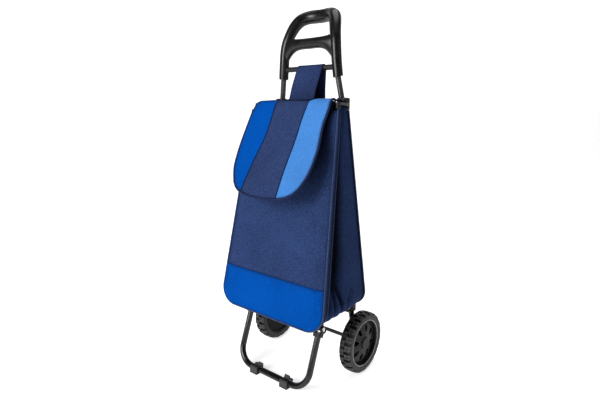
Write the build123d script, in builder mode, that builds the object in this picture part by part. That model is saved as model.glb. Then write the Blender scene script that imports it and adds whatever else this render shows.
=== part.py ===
from build123d import *
import os
from math import atan2, cos, radians, sin, sqrt

os.makedirs("parts", exist_ok=True)

# Running and seating clearances
RUN = 0.08
SEAT = 0.05
GAP = 0.3

# Wheels and axle
WHEEL_D = 160.0
TYRE_W = 34.0
TRACK_HALF = 148.0
AXLE_D = 10.0
AXLE_Z = WHEEL_D / 2
AXLE_Y = 72.5
TYRE_WALL = 18.0
TREAD_BLOCKS = 22
TREAD_DEPTH = 5.2
TREAD_GROOVE = 9.0
TREAD_MID = 1.4
RIM_HOLES = 8
HOLE_AT = 40.0
HOLE_L = 22.0
HOLE_W = 13.0
DISC_BACK = 11.0
DISC_SKIN = 2.0
HUB_R = 15.0
HUB_IN = 20.0
HUB_OUT = 12.0
CAP_WALL = 2.0
CAP_LOW = 6.0
CAP_TOP = 16.4
CLIP_T = 1.0
WASHER_R = 11.0

# Frame tubes
TUBE_D = 16.0
TUBE_WALL = 1.2
UPRIGHT_FOOT_X = 122.0
UPRIGHT_TOP_X = 96.5
UPRIGHT_LEAN = 41.0
JOINT_Z = 690.0
FLAT_T = 4.0
FLAT_W = 24.0
FLAT_TOP_Z = 136.0
ROUND_END_Z = 160.0
NECK_D = 14.0
SLEEVE_Z = 755.0
SLEEVE_X = 85.7
SLEEVE_AHEAD = 48.5

# Handle moulding: half of its loop as sideways, ahead, height and radius, then half of its lower bar
# as sideways, drop, half depth and half height
LOOP = (
    (SLEEVE_X, SLEEVE_AHEAD, SLEEVE_Z, 12.2), (82.6, 50.4, 786.0, 12.4), (80.2, 51.2, 812.0, 12.7),
    (75.8, 48.6, 842.0, 13.2), (69.2, 41.6, 866.0, 13.9), (61.5, 31.5, 887.0, 14.8),
    (52.0, 21.5, 900.4, 15.5), (33.0, 9.5, 908.3, 16.0), (0.0, 4.0, 908.8, 16.2))
BAR = (
    (0.0, 0.0, 12.2, 13.0), (34.0, 0.2, 12.2, 13.6), (50.0, 2.4, 11.9, 16.8), (62.0, 6.4, 11.4, 23.0),
    (74.0, 11.0, 10.4, 32.0))
BAR_AHEAD = 51.0
BAR_Z = 837.5
RUNOUT = 30.0
NECK_IN = 38.0
ROD_D = 13.0
ROD_Z = 778.0
ROD_AHEAD = 49.3
ROD_IN = 2.2

# Joint blocks and mouth hoop
BLOCK_X = 27.0
BLOCK_OUT = 2.0
BLOCK_Y = 25.0
BLOCK_Z = 29.0
HOOP_D = 6.0
HOOP_PIVOT_AHEAD = 47.5
HOOP_FRONT_AHEAD = 106.0
HOOP_SIDE_X = 119.0
HOOP_FRONT_X = 128.0
HOOP_BEND = 7.0
CORNER_D = 11.0
CORNER_H = 16.0

# Base tube and its hinge brackets on the uprights
BASE_D = 14.0
BASE_X = 114.0
BASE_Z = 175.0
BASE_FRONT_AHEAD = 188.0
BASE_BEND = 32.0
BASE_PIN_AHEAD = 27.5
BASE_PIN_D = 4.0
CHEEK = 4.0
BRACKET_Y = 22.0
BRACKET_LOW = 162.0
BRACKET_HIGH = 182.0
LUG_R = 7.0
BRACKET_WALL = 7.6
BRACKET_WEB = 5.0

# Folding foot
FOOT_PIN_AHEAD = 137.0
FOOT_PIN_DROP = 18.0
FOOT_PIN_D = 5.0
FOOT_LEAN = 19.0
FOOT_BAR_Z = 11.0
FOOT_BEND = 45.0
HANGER_R = 10.0
HANGER_L = 22.0
HANGER_LUG = 13.4
HANGER_LUG_R = 7.0
FORK_T = 3.6
FORK_DEPTH = 11.0
COLLAR_X = 22.0
COLLAR_Y = 20.0
COLLAR_TOP = 11.5
COLLAR_H = 10.5
STOP_T = 2.6
STOP_UP = 7.2
STOP_OUT = 8.0
STOP_WEB = 3.0
EYE_BACK = 9.0
EYE_DOWN = 5.0
EYE_R = 6.5
EYE_HOLE = 4.4
PAD_X = 51.0
PAD_W = 24.0
PAD_L = 25.0

# Bag
CLOTH = 2.0
PANEL = 2.5
BAG_TOP_Z = 675.0
BAG_LOW_Z = 182.3
BAG_SPLIT_Z = 240.0
FRONT_HALF_0 = 177.5
FRONT_HALF_SLOPE = 0.067
FRONT_AHEAD_0 = 232.2
FRONT_SLOPE = 0.174
BACK_HALF_0 = 187.5
BACK_HALF_SLOPE = 0.103
CORNER_R = 44.0
CREASE_AT = 0.36
CREASE_LOW = 3.0
CREASE_TOP = 30.0
BACK_LOW_Z = 190.0
BAND_TOP_Z = 275.0
BAND_T = 1.0
HEM_Z = 176.0
HEM_TAB_X = 110.0
PIPING_R = 2.4
LOOP_Z = 430.0
LOOP_W = 32.0
LOOP_T = 1.6

# Flap and strap
FLAP_T = 3.0
FLAP_HINGE_AHEAD = 51.5
FLAP_HINGE_Z = 699.0
FLAP_EDGE_AHEAD = 115.0
FLAP_EDGE_Z = 694.4
FLAP_SLOPE = 0.497
FLAP_BEND = 13.0
FLAP_LOW_Z = 472.0
FLAP_TOP_HALF = 116.5
FLAP_LOW_HALF = 123.0
STRIPE_TOP_HALF = 49.0
STRIPE_LOW_HALF = 56.5
BINDING_W = 6.0
BINDING_OUT = 1.5
BINDING_T = 1.2
STRAP_HALF = 39.0
STRAP_SHIFT = 6.0
STRAP_T = 2.0
STRAP_LAND_AHEAD = 85.0
STRAP_TAIL_Z = 640.0
FLAP_NOTCH = 6.5


def y_of(ahead):
    return AXLE_Y - ahead


def save(part, node):
    part.label = node
    export_step(part, f"parts/{node}.step")


def on_line(p, q, z):
    t = (z - p[2]) / (q[2] - p[2])
    return tuple(a + (b - a) * t for a, b in zip(p, q))


def upright_line(s):
    foot = (s * UPRIGHT_FOOT_X, AXLE_Y, AXLE_Z)
    top = (s * UPRIGHT_TOP_X, y_of(UPRIGHT_LEAN), JOINT_Z)
    return foot, top


def upright_ahead(z):
    return UPRIGHT_LEAN * (z - AXLE_Z) / (JOINT_Z - AXLE_Z)


def neck_line(s):
    joint = upright_line(s)[1]
    return joint, (s * SLEEVE_X, y_of(SLEEVE_AHEAD), SLEEVE_Z)


def along(p, q):
    d = Vector(*q) - Vector(*p)
    return Plane(origin=p, x_dir=(0, -1, 0), z_dir=tuple(d))


def length(p, q):
    return (Vector(*q) - Vector(*p)).length


def front_half(z):
    return FRONT_HALF_0 - FRONT_HALF_SLOPE * z


def front_ahead(z):
    return FRONT_AHEAD_0 - FRONT_SLOPE * z


def back_half(z):
    return BACK_HALF_0 - BACK_HALF_SLOPE * z


def back_ahead(z):
    return upright_ahead(z) + TUBE_D / 2 + GAP + PANEL


SIDES = (("left", -1), ("right", 1))

# Lens-shaped pocket in a wheel disc
with BuildSketch() as lens:
    with BuildLine():
        a1 = ThreePointArc((-HOLE_L / 2, 0), (0, HOLE_W / 2), (HOLE_L / 2, 0))
        ThreePointArc(a1 @ 1, (0, -HOLE_W / 2), (-HOLE_L / 2, 0))
    make_face()

# Tyres, discs and hub caps
for side, s in SIDES:
    centre = (s * TRACK_HALF, AXLE_Y, AXLE_Z)
    across = Plane(origin=centre, x_dir=(s, 0, 0), z_dir=(0, -s, 0))
    facing = Plane(origin=centre, x_dir=(0, s, 0), z_dir=(s, 0, 0))
    spin = Axis(centre, (s, 0, 0))
    r_out = WHEEL_D / 2
    r_seat = r_out - TYRE_WALL
    w = TYRE_W / 2
    with BuildPart() as tyre:
        with BuildSketch(across):
            with BuildLine():
                l1 = Polyline((w - 0.8, r_out - 4), (w, r_out - 9), (w, r_seat + 3), (w - 2.5, r_seat))
                l2 = Line(l1 @ 1, (2.5 - w, r_seat))
                l3 = Polyline(l2 @ 1, (-w, r_seat + 3), (-w, r_out - 9), (0.8 - w, r_out - 4))
                l4 = Line(l3 @ 1, (3.6 - w, r_out - 1.2))
                l5 = ThreePointArc(l4 @ 1, (0, r_out), (w - 3.6, r_out - 1.2))
                Line(l5 @ 1, l1 @ 0)
            make_face()
        revolve(axis=spin)
        for row, turn in ((1, 0.0), (-1, 180.0 / TREAD_BLOCKS)):
            half_row = (w - TREAD_MID) / 2 + 1.0
            with BuildSketch(facing.offset(row * (TREAD_MID - 0.4 + half_row))):
                with PolarLocations(r_out, TREAD_BLOCKS, start_angle=turn):
                    Rectangle(2 * TREAD_DEPTH, TREAD_GROOVE)
            extrude(amount=half_row, both=True, mode=Mode.SUBTRACT)
        with BuildSketch(facing):
            Circle(r_out + 1)
            Circle(r_out - 2.0, mode=Mode.SUBTRACT)
        extrude(amount=TREAD_MID, both=True, mode=Mode.SUBTRACT)
    save(tyre.part, f"tyre_{side}")

    with BuildPart() as disc:
        with BuildSketch(across):
            with BuildLine():
                Polyline(
                    (HUB_OUT, AXLE_D / 2 + RUN), (HUB_OUT, HUB_R), (5.5, HUB_R), (3, HUB_R + 2.5),
                    (1, r_seat - 9), (9, r_seat - 6.5), (w - 3.5, r_seat - 3.5), (w - 3.5, r_seat - SEAT),
                    (3.5 - w, r_seat - SEAT), (3.5 - w, r_seat - 4), (-DISC_BACK, r_seat - 7),
                    (-DISC_BACK, HUB_R + 2), (-HUB_IN, HUB_R - 3), (-HUB_IN, AXLE_D / 2 + RUN), close=True)
            make_face()
        revolve(axis=spin)
        with BuildSketch(facing.offset(DISC_SKIN - DISC_BACK)):
            with PolarLocations(HOLE_AT, RIM_HOLES):
                add(lens.sketch)
        extrude(amount=2 * DISC_BACK, mode=Mode.SUBTRACT)
    save(disc.part, f"wheel_disc_{side}")

    with BuildPart() as cap:
        with BuildSketch(facing.offset(CAP_LOW)):
            Circle(HUB_R + CAP_WALL)
        extrude(amount=CAP_TOP - CAP_LOW)
        fillet(cap.faces().sort_by(Axis.X)[-1 if s > 0 else 0].edges(), 3.2)
        with BuildSketch(facing.offset(CAP_LOW)):
            Circle(HUB_R + SEAT)
        extrude(amount=HUB_OUT - CAP_LOW, mode=Mode.SUBTRACT)
        with BuildSketch(facing.offset(CAP_LOW)):
            Circle(WASHER_R)
        extrude(amount=15.0 - CAP_LOW, mode=Mode.SUBTRACT)
    save(cap.part, f"hub_cap_{side}")

# Axle rod with its washers and push-on clips
axle_half = TRACK_HALF + 14.5
with BuildPart() as axle:
    with BuildSketch(Plane.YZ.offset(-axle_half)):
        with Locations((AXLE_Y, AXLE_Z)):
            Circle(AXLE_D / 2)
    extrude(amount=2 * axle_half)
    chamfer(axle.edges().filter_by(GeomType.CIRCLE), 1.0)
save(axle.part, "axle")

for side, s in SIDES:
    tab_out = UPRIGHT_FOOT_X + FLAT_T / 2
    hub_face = TRACK_HALF - HUB_IN
    with BuildPart() as washer:
        with BuildSketch(Plane.YZ.offset(s * (tab_out + SEAT))):
            with Locations((AXLE_Y, AXLE_Z)):
                Circle(WASHER_R)
                Circle(AXLE_D / 2 + SEAT, mode=Mode.SUBTRACT)
        extrude(amount=s * (hub_face - tab_out - SEAT - GAP))
    save(washer.part, f"axle_washer_{side}")

    with BuildPart() as clip:
        with BuildSketch(Plane.YZ.offset(s * (TRACK_HALF + HUB_OUT + GAP))):
            with Locations((AXLE_Y, AXLE_Z)):
                Circle(WASHER_R - 1.5)
                Circle(AXLE_D / 2 + SEAT, mode=Mode.SUBTRACT)
        extrude(amount=s * CLIP_T)
    save(clip.part, f"axle_clip_{side}")

# Rear uprights: round tube, pressed flat and drilled for the axle at the foot
for side, s in SIDES:
    foot, top = upright_line(s)
    shoulder = on_line(foot, top, ROUND_END_Z)
    lower = on_line(foot, top, FLAT_TOP_Z)
    tube_plane = along(shoulder, top)
    with BuildPart() as upright:
        with BuildSketch(tube_plane):
            Circle(TUBE_D / 2)
        extrude(amount=length(shoulder, top) - 1.5)
        with BuildSketch(tube_plane):
            Circle(TUBE_D / 2)
        with BuildSketch(Plane((s * UPRIGHT_FOOT_X, lower[1], FLAT_TOP_Z), x_dir=(0, -1, 0))):
            Ellipse(FLAT_W / 2 + 0.5, FLAT_T / 2 + 0.5)
        loft()
        with BuildSketch(Plane.YZ.offset(s * (UPRIGHT_FOOT_X - s * FLAT_T / 2))):
            with BuildLine():
                e1 = Polyline(
                    (AXLE_Y - FLAT_W / 2, AXLE_Z), (lower[1] - FLAT_W / 2, FLAT_TOP_Z),
                    (lower[1] + FLAT_W / 2, FLAT_TOP_Z), (AXLE_Y + FLAT_W / 2, AXLE_Z))
                ThreePointArc(e1 @ 1, (AXLE_Y, AXLE_Z - FLAT_W / 2), e1 @ 0)
            make_face()
        extrude(amount=FLAT_T)
        with BuildSketch(Plane.YZ.offset(s * UPRIGHT_FOOT_X)):
            with Locations((AXLE_Y, AXLE_Z)):
                Circle(AXLE_D / 2 + SEAT)
        extrude(amount=FLAT_T, both=True, mode=Mode.SUBTRACT)
        with BuildSketch(along(on_line(foot, top, ROUND_END_Z + 14), top)):
            Circle(TUBE_D / 2 - TUBE_WALL)
        extrude(amount=length(foot, top), mode=Mode.SUBTRACT)
    save(upright.part, f"upright_{side}")

# Upper handle tubes
for side, s in SIDES:
    joint, sleeve = neck_line(s)
    start = on_line(joint, sleeve, JOINT_Z + 2.0)
    with BuildPart() as neck:
        with BuildSketch(along(start, sleeve)):
            Circle(NECK_D / 2)
            Circle(NECK_D / 2 - TUBE_WALL, mode=Mode.SUBTRACT)
        extrude(amount=length(start, sleeve) + NECK_IN - 1.0)
    save(neck.part, f"handle_tube_{side}")

# Joint blocks at the mouth of the bag
for side, s in SIDES:
    foot, top = upright_line(s)
    joint, sleeve = neck_line(s)
    block_mid = (s * (UPRIGHT_TOP_X + BLOCK_OUT), y_of(UPRIGHT_LEAN + 0.5), JOINT_Z + 1.5)
    with BuildPart() as block:
        with BuildSketch(Plane(block_mid)):
            RectangleRounded(BLOCK_X, BLOCK_Y, 7)
        extrude(amount=BLOCK_Z / 2, both=True)
        chamfer(block.faces().sort_by(Axis.Z)[-1].edges(), 2.0)
        chamfer(block.faces().sort_by(Axis.Z)[0].edges(), 1.5)
        with BuildSketch(along(top, foot)):
            Circle(TUBE_D / 2 + SEAT)
        extrude(amount=40, mode=Mode.SUBTRACT)
        with BuildSketch(along(on_line(joint, sleeve, JOINT_Z + 0.8), sleeve)):
            Circle(NECK_D / 2 + SEAT)
        extrude(amount=40, mode=Mode.SUBTRACT)
        with BuildSketch(Plane.YZ.offset(s * (UPRIGHT_TOP_X + TUBE_D / 2 + 1.0))):
            with Locations((y_of(HOOP_PIVOT_AHEAD), JOINT_Z)):
                Circle(HOOP_D / 2 + RUN)
        extrude(amount=s * 40, mode=Mode.SUBTRACT)
    save(block.part, f"joint_block_{side}")

# Handle: one smooth loop that thickens towards the grip, and a lower bar that flares into its arms
right_rings = [((x, y_of(ahead), z), r) for x, ahead, z, r in LOOP]
right_rings.insert(0, (on_line(*neck_line(1), SLEEVE_Z - RUNOUT), LOOP[0][3]))
left_rings = [((-at[0], at[1], at[2]), r) for at, r in reversed(right_rings[:-1])]
loop_rings = right_rings + left_rings
bar_rings = [(-x, drop, deep, tall) for x, drop, deep, tall in reversed(BAR[1:])] + list(BAR)
rod_y = y_of(ROD_AHEAD)
rod_half = on_line(right_rings[1][0], right_rings[2][0], ROD_Z)[0] - LOOP[0][3] + ROD_IN
with BuildLine() as loop_path:
    Spline(*[at for at, r in loop_rings])
loop_edge = loop_path.edges()[0]
with BuildPart() as handle:
    for at, r in loop_rings:
        with BuildSketch(Plane(origin=at, x_dir=(0, -1, 0), z_dir=tuple(loop_edge.tangent_at(Vector(*at))))):
            Circle(r)
    loft()
    for side, s in SIDES:
        joint, sleeve = neck_line(s)
        split(bisect_by=along(sleeve, on_line(joint, sleeve, SLEEVE_Z + RUNOUT)), keep=Keep.TOP)
    for x, drop, deep, tall in bar_rings:
        with BuildSketch(Plane.YZ.offset(x)):
            with Locations((y_of(BAR_AHEAD), BAR_Z - drop)):
                Ellipse(deep, tall)
    loft()
    for side, s in SIDES:
        joint, sleeve = neck_line(s)
        with BuildSketch(along(on_line(joint, sleeve, SLEEVE_Z - 6), sleeve)):
            Circle(NECK_D / 2 + SEAT)
        extrude(amount=NECK_IN + 6, mode=Mode.SUBTRACT)
    with BuildSketch(Plane.YZ.offset(-rod_half - 0.2)):
        with Locations((rod_y, ROD_Z)):
            Circle(ROD_D / 2 + SEAT)
    extrude(amount=2 * rod_half + 0.4, mode=Mode.SUBTRACT)
save(handle.part, "handle")

with BuildPart() as strap_rod:
    with BuildSketch(Plane.YZ.offset(-rod_half)):
        with Locations((rod_y, ROD_Z)):
            Circle(ROD_D / 2)
    extrude(amount=2 * rod_half)
    chamfer(strap_rod.edges().filter_by(GeomType.CIRCLE), 0.8)
save(strap_rod.part, "strap_rod")

# Mouth hoop with its corner pieces
stub_x = UPRIGHT_TOP_X + TUBE_D / 2 + 1.6
hoop_points = [
    (stub_x, y_of(HOOP_PIVOT_AHEAD)), (HOOP_SIDE_X, y_of(HOOP_PIVOT_AHEAD)),
    (HOOP_FRONT_X, y_of(HOOP_FRONT_AHEAD)), (-HOOP_FRONT_X, y_of(HOOP_FRONT_AHEAD)),
    (-HOOP_SIDE_X, y_of(HOOP_PIVOT_AHEAD)), (-stub_x, y_of(HOOP_PIVOT_AHEAD))]
hoop_plane = Plane((0, 0, JOINT_Z))


with BuildPart() as hoop:
    with BuildLine(hoop_plane) as hoop_path:
        FilletPolyline(*hoop_points, radius=HOOP_BEND)
    with BuildSketch(Plane(hoop_path.line @ 0, z_dir=hoop_path.line % 0)):
        Circle(HOOP_D / 2)
    sweep(path=hoop_path.line)
save(hoop.part, "mouth_hoop")

with BuildPart() as hoop_room:
    with BuildLine(hoop_plane) as room_path:
        FilletPolyline(*hoop_points, radius=HOOP_BEND)
    with BuildSketch(Plane(room_path.line @ 0, z_dir=room_path.line % 0)):
        Circle(HOOP_D / 2 + SEAT)
    sweep(path=room_path.line)

for side, s in SIDES:
    corner_low = JOINT_Z + 3.4 - CORNER_H
    corner_at = (s * (HOOP_FRONT_X - 1.6), y_of(HOOP_FRONT_AHEAD - 1.6))
    with BuildPart() as corner:
        with BuildSketch(Plane((*corner_at, corner_low))):
            Circle(CORNER_D / 2)
        extrude(amount=CORNER_H)
        chamfer(corner.edges().filter_by(GeomType.CIRCLE), 1.0)
        add(hoop_room.part, mode=Mode.SUBTRACT)
    save(corner.part, f"hoop_corner_{side}")

# Base tube under the bag, hinged to the uprights
with BuildPart() as base_tube:
    with BuildLine(Plane((0, 0, BASE_Z))) as base_path:
        FilletPolyline(
            (BASE_X, y_of(BASE_PIN_AHEAD)), (BASE_X, y_of(BASE_FRONT_AHEAD)),
            (-BASE_X, y_of(BASE_FRONT_AHEAD)), (-BASE_X, y_of(BASE_PIN_AHEAD)), radius=BASE_BEND)
    with BuildSketch(Plane(base_path.line @ 0, z_dir=base_path.line % 0)):
        Circle(BASE_D / 2)
        Circle(BASE_D / 2 - TUBE_WALL, mode=Mode.SUBTRACT)
    sweep(path=base_path.line)
    with Locations((BASE_X, y_of(BASE_PIN_AHEAD), BASE_Z), (-BASE_X, y_of(BASE_PIN_AHEAD), BASE_Z)):
        Sphere(BASE_D / 2)
    with BuildSketch(Plane.YZ.offset(-BASE_X - BASE_D)):
        with Locations((y_of(BASE_PIN_AHEAD), BASE_Z)):
            Circle(BASE_PIN_D / 2 + RUN)
    extrude(amount=2 * (BASE_X + BASE_D), mode=Mode.SUBTRACT)
save(base_tube.part, "base_tube")

fork_gap = BASE_D / 2 + 0.5
for side, s in SIDES:
    foot, top = upright_line(s)
    mid_z = (BRACKET_LOW + BRACKET_HIGH) / 2
    mid = on_line(foot, top, mid_z)
    wall_y = y_of(BASE_PIN_AHEAD) + BRACKET_WALL
    with BuildPart() as bracket:
        with BuildSketch(Plane((mid[0], mid[1] + 1.5, mid_z))):
            RectangleRounded(BRACKET_Y, BRACKET_Y, 8)
        extrude(amount=(BRACKET_HIGH - BRACKET_LOW) / 2, both=True)
        with BuildSketch(Plane((0, 0, BRACKET_LOW))):
            with Locations((s * BASE_X, wall_y + BRACKET_WEB / 2)):
                Rectangle(2 * (fork_gap + CHEEK), BRACKET_WEB)
        extrude(amount=BRACKET_HIGH - BRACKET_LOW)
        for c in (-1, 1):
            with BuildSketch(Plane.YZ.offset(s * BASE_X + c * (fork_gap + CHEEK / 2))):
                with BuildLine():
                    k1 = Polyline(
                        (y_of(BASE_PIN_AHEAD), BASE_Z + LUG_R), (wall_y + 1.0, BRACKET_HIGH),
                        (wall_y + 1.0, BRACKET_LOW), (y_of(BASE_PIN_AHEAD), BASE_Z - LUG_R))
                    ThreePointArc(k1 @ 1, (y_of(BASE_PIN_AHEAD + LUG_R), BASE_Z), k1 @ 0)
                make_face()
            extrude(amount=CHEEK / 2, both=True)
        with BuildSketch(Plane.YZ.offset(s * BASE_X)):
            shelf_top = BASE_Z - BASE_D / 2 - GAP
            with Locations(((y_of(BASE_PIN_AHEAD + 4) + wall_y) / 2, shelf_top - 1.5)):
                Rectangle(wall_y - y_of(BASE_PIN_AHEAD + 4), 3.0)
        extrude(amount=fork_gap + CHEEK, both=True)
        with BuildSketch(along(on_line(foot, top, BRACKET_LOW - 10), top)):
            Circle(TUBE_D / 2 + SEAT)
        extrude(amount=60, mode=Mode.SUBTRACT)
        with BuildSketch(Plane.YZ.offset(s * BASE_X)):
            with Locations((y_of(BASE_PIN_AHEAD), BASE_Z)):
                Circle(BASE_PIN_D / 2 + SEAT)
        extrude(amount=30, both=True, mode=Mode.SUBTRACT)
    save(bracket.part, f"base_bracket_{side}")

    with BuildPart() as base_pin:
        reach = fork_gap + CHEEK + SEAT
        with BuildSketch(Plane.YZ.offset(s * BASE_X)):
            with Locations((y_of(BASE_PIN_AHEAD), BASE_Z)):
                Circle(BASE_PIN_D / 2)
        extrude(amount=reach + 1.0, both=True)
        for c in (-1, 1):
            with BuildSketch(Plane.YZ.offset(s * BASE_X + c * reach)):
                with Locations((y_of(BASE_PIN_AHEAD), BASE_Z)):
                    Circle(BASE_PIN_D / 2 + 1.6)
            extrude(amount=c * 1.4)
    save(base_pin.part, f"base_pin_{side}")

# Hangers clipped under the base tube, with the pins the foot swings on
foot_pin = (y_of(FOOT_PIN_AHEAD), BASE_Z - FOOT_PIN_DROP)
for side, s in SIDES:
    with BuildPart() as hanger:
        with BuildSketch(Plane.XZ.offset(-foot_pin[0])):
            with Locations((s * BASE_X, BASE_Z)):
                Circle(HANGER_R)
        extrude(amount=HANGER_L / 2, both=True)
        with BuildSketch(Plane.YZ.offset(s * BASE_X)):
            with BuildLine():
                h1 = Polyline(
                    (foot_pin[0] - HANGER_LUG_R, foot_pin[1]), (foot_pin[0] - HANGER_LUG_R, BASE_Z),
                    (foot_pin[0] + HANGER_LUG_R, BASE_Z), (foot_pin[0] + HANGER_LUG_R, foot_pin[1]))
                ThreePointArc(h1 @ 1, (foot_pin[0], foot_pin[1] - HANGER_LUG_R), h1 @ 0)
            make_face()
        extrude(amount=HANGER_LUG / 2, both=True)
        with BuildSketch(Plane.XZ.offset(-foot_pin[0])):
            with Locations((s * BASE_X, BASE_Z)):
                Circle(BASE_D / 2 + SEAT)
            with Locations((s * BASE_X, BASE_Z + BASE_D / 2 + 8.6)):
                Rectangle(40, 20)
        extrude(amount=HANGER_L, both=True, mode=Mode.SUBTRACT)
        with BuildSketch(Plane.YZ.offset(s * BASE_X)):
            with Locations(foot_pin):
                Circle(FOOT_PIN_D / 2 + SEAT)
        extrude(amount=30, both=True, mode=Mode.SUBTRACT)
    save(hanger.part, f"foot_hanger_{side}")

    with BuildPart() as pin:
        reach = HANGER_LUG / 2 + GAP + FORK_T + GAP
        with BuildSketch(Plane.YZ.offset(s * BASE_X)):
            with Locations(foot_pin):
                Circle(FOOT_PIN_D / 2)
        extrude(amount=reach + 1.0, both=True)
        for c in (-1, 1):
            with BuildSketch(Plane.YZ.offset(s * BASE_X + c * reach)):
                with Locations(foot_pin):
                    Circle(FOOT_PIN_D / 2 + 1.8)
            extrude(amount=c * 1.5)
    save(pin.part, f"foot_pin_{side}")

# Folding foot: U-shaped tube, forks that straddle the hangers, snap-on pads
lean_y = sin(radians(FOOT_LEAN))
lean_z = cos(radians(FOOT_LEAN))
foot_plane = Plane(origin=(0, *foot_pin), x_dir=(1, 0, 0), z_dir=(0, -lean_z, lean_y))
foot_drop = (foot_pin[1] - FOOT_BAR_Z) / lean_z
tube_top = COLLAR_TOP + 3.0
with BuildPart() as foot_tube:
    with BuildLine(foot_plane) as foot_path:
        FilletPolyline(
            (BASE_X, -tube_top), (BASE_X, -foot_drop), (-BASE_X, -foot_drop), (-BASE_X, -tube_top),
            radius=FOOT_BEND)
    with BuildSketch(Plane(foot_path.line @ 0, z_dir=foot_path.line % 0)):
        Circle(TUBE_D / 2)
        Circle(TUBE_D / 2 - TUBE_WALL, mode=Mode.SUBTRACT)
    sweep(path=foot_path.line)
save(foot_tube.part, "foot_tube")

for side, s in SIDES:
    up_plane = Plane(origin=(s * BASE_X, *foot_pin), x_dir=(1, 0, 0), z_dir=(0, lean_y, lean_z))
    cheek_in = HANGER_LUG / 2 + GAP
    with BuildPart() as fork:
        with BuildSketch(up_plane.offset(-COLLAR_TOP)):
            RectangleRounded(COLLAR_X, COLLAR_Y, 5)
        extrude(amount=-COLLAR_H)
        chamfer(fork.edges().filter_by(lambda e: e.length > 6), 0.8)
        for c in (-1, 1):
            cheek_plane = Plane(
                origin=(s * BASE_X + c * (cheek_in + FORK_T / 2), *foot_pin), x_dir=(0, lean_z, -lean_y),
                z_dir=(1, 0, 0))
            with BuildSketch(cheek_plane):
                with BuildLine():
                    g1 = Polyline(
                        (-FORK_DEPTH / 2, 0), (-FORK_DEPTH / 2, -COLLAR_TOP - 1),
                        (FORK_DEPTH / 2, -COLLAR_TOP - 1), (FORK_DEPTH / 2, 0))
                    ThreePointArc(g1 @ 1, (0, FORK_DEPTH / 2), g1 @ 0)
                make_face()
                if c == s:
                    with BuildLine():
                        Polyline(
                            (0, -EYE_DOWN), (0, -COLLAR_TOP - 1), (COLLAR_Y / 2 - 1, -COLLAR_TOP - 1),
                            (EYE_BACK + EYE_R, -EYE_DOWN), close=True)
                    make_face()
                    with Locations((EYE_BACK, -EYE_DOWN)):
                        Circle(EYE_R)
                        Circle(EYE_HOLE, mode=Mode.SUBTRACT)
                else:
                    with Locations((-STOP_OUT - STOP_T / 2, (STOP_UP - COLLAR_TOP - 1) / 2)):
                        Rectangle(STOP_T, STOP_UP + COLLAR_TOP + 1)
                    with Locations((-STOP_OUT / 2, -(COLLAR_TOP + 1 + STOP_WEB) / 2)):
                        Rectangle(STOP_OUT, COLLAR_TOP + 1 - STOP_WEB)
            extrude(amount=FORK_T / 2, both=True)
        with BuildSketch(up_plane.offset(-tube_top + SEAT)):
            Circle(TUBE_D / 2 + SEAT)
        extrude(amount=-60, mode=Mode.SUBTRACT)
        with BuildSketch(Plane.YZ.offset(s * BASE_X)):
            with Locations(foot_pin):
                Circle(FOOT_PIN_D / 2 + RUN)
        extrude(amount=30, both=True, mode=Mode.SUBTRACT)
    save(fork.part, f"foot_fork_{side}")

    bar_y = foot_pin[0] - foot_drop * lean_y
    with BuildPart() as pad:
        with BuildSketch(Plane.YZ.offset(s * PAD_X)):
            with BuildLine():
                Polyline(
                    (bar_y - PAD_L / 2, 0), (bar_y + PAD_L / 2, 0), (bar_y + PAD_L / 2, 7),
                    (bar_y + 13.5, FOOT_BAR_Z + 11), (bar_y + 10.5, FOOT_BAR_Z + 14),
                    (bar_y + 7.5, FOOT_BAR_Z + 8.5), (bar_y + 4.5, FOOT_BAR_Z + 5.5),
                    (bar_y - 4.5, FOOT_BAR_Z + 5.5), (bar_y - 7.5, FOOT_BAR_Z + 8.5),
                    (bar_y - 11.5, FOOT_BAR_Z + 6), (bar_y - PAD_L / 2, 6), close=True)
            make_face()
            with Locations((bar_y, FOOT_BAR_Z)):
                Circle(TUBE_D / 2 + SEAT, mode=Mode.SUBTRACT)
        extrude(amount=PAD_W / 2, both=True)
        with BuildSketch(Plane.YZ.offset(s * (PAD_X + 2.0))):
            with Locations((bar_y + 12, FOOT_BAR_Z + 13.5)):
                Rectangle(10, 12)
        extrude(amount=s * PAD_W, mode=Mode.SUBTRACT)
    save(pad.part, f"foot_pad_{side}")

# Bag: outlines of the front and back panels and of the crease between them


def panel_plane(ahead, z):
    low, high = ahead(z), ahead(z + 100)
    up = Vector(0, low - high, 100).normalized()
    return Plane(origin=(0, y_of(low), z), x_dir=(1, 0, 0), z_dir=tuple(Vector(1, 0, 0).cross(up)))


def rise(ahead):
    return sqrt(1 + ((ahead(0) - ahead(100)) / 100) ** 2)


def outline(ahead, half, inset, z0, z1, radius):
    k = rise(ahead)
    height = (z1 - z0) * k
    low, high = half(z0) - inset, half(z1) - inset
    with BuildSketch(panel_plane(ahead, z0)) as shape:
        with BuildLine():
            Polyline((-low, 0), (low, 0), (high, height), (-high, height), close=True)
        make_face()
        fillet(shape.vertices().group_by(Axis.Y)[0], radius)
    return shape.sketch


def front_in(z):
    return front_ahead(z) - PANEL * rise(front_ahead)


def crease_ahead(z):
    return front_in(z) + (back_ahead(z) - front_in(z)) * CREASE_AT


def crease_half(z):
    deep = CREASE_LOW + (CREASE_TOP - CREASE_LOW) * (z - BAG_LOW_Z) / (BAG_TOP_Z - BAG_LOW_Z)
    return front_half(z) + (back_half(z) - front_half(z)) * CREASE_AT - deep


def sides_of(inset, top, radius):
    crease_z = BAG_LOW_Z + (BACK_LOW_Z - BAG_LOW_Z) * CREASE_AT
    with BuildPart() as body:
        add(outline(front_in, front_half, inset, BAG_LOW_Z + inset, top, radius))
        add(outline(crease_ahead, crease_half, inset, crease_z + inset, top, radius))
        add(outline(back_ahead, back_half, inset, BACK_LOW_Z + inset, top, radius))
        loft(ruled=True)
    return body.part


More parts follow.
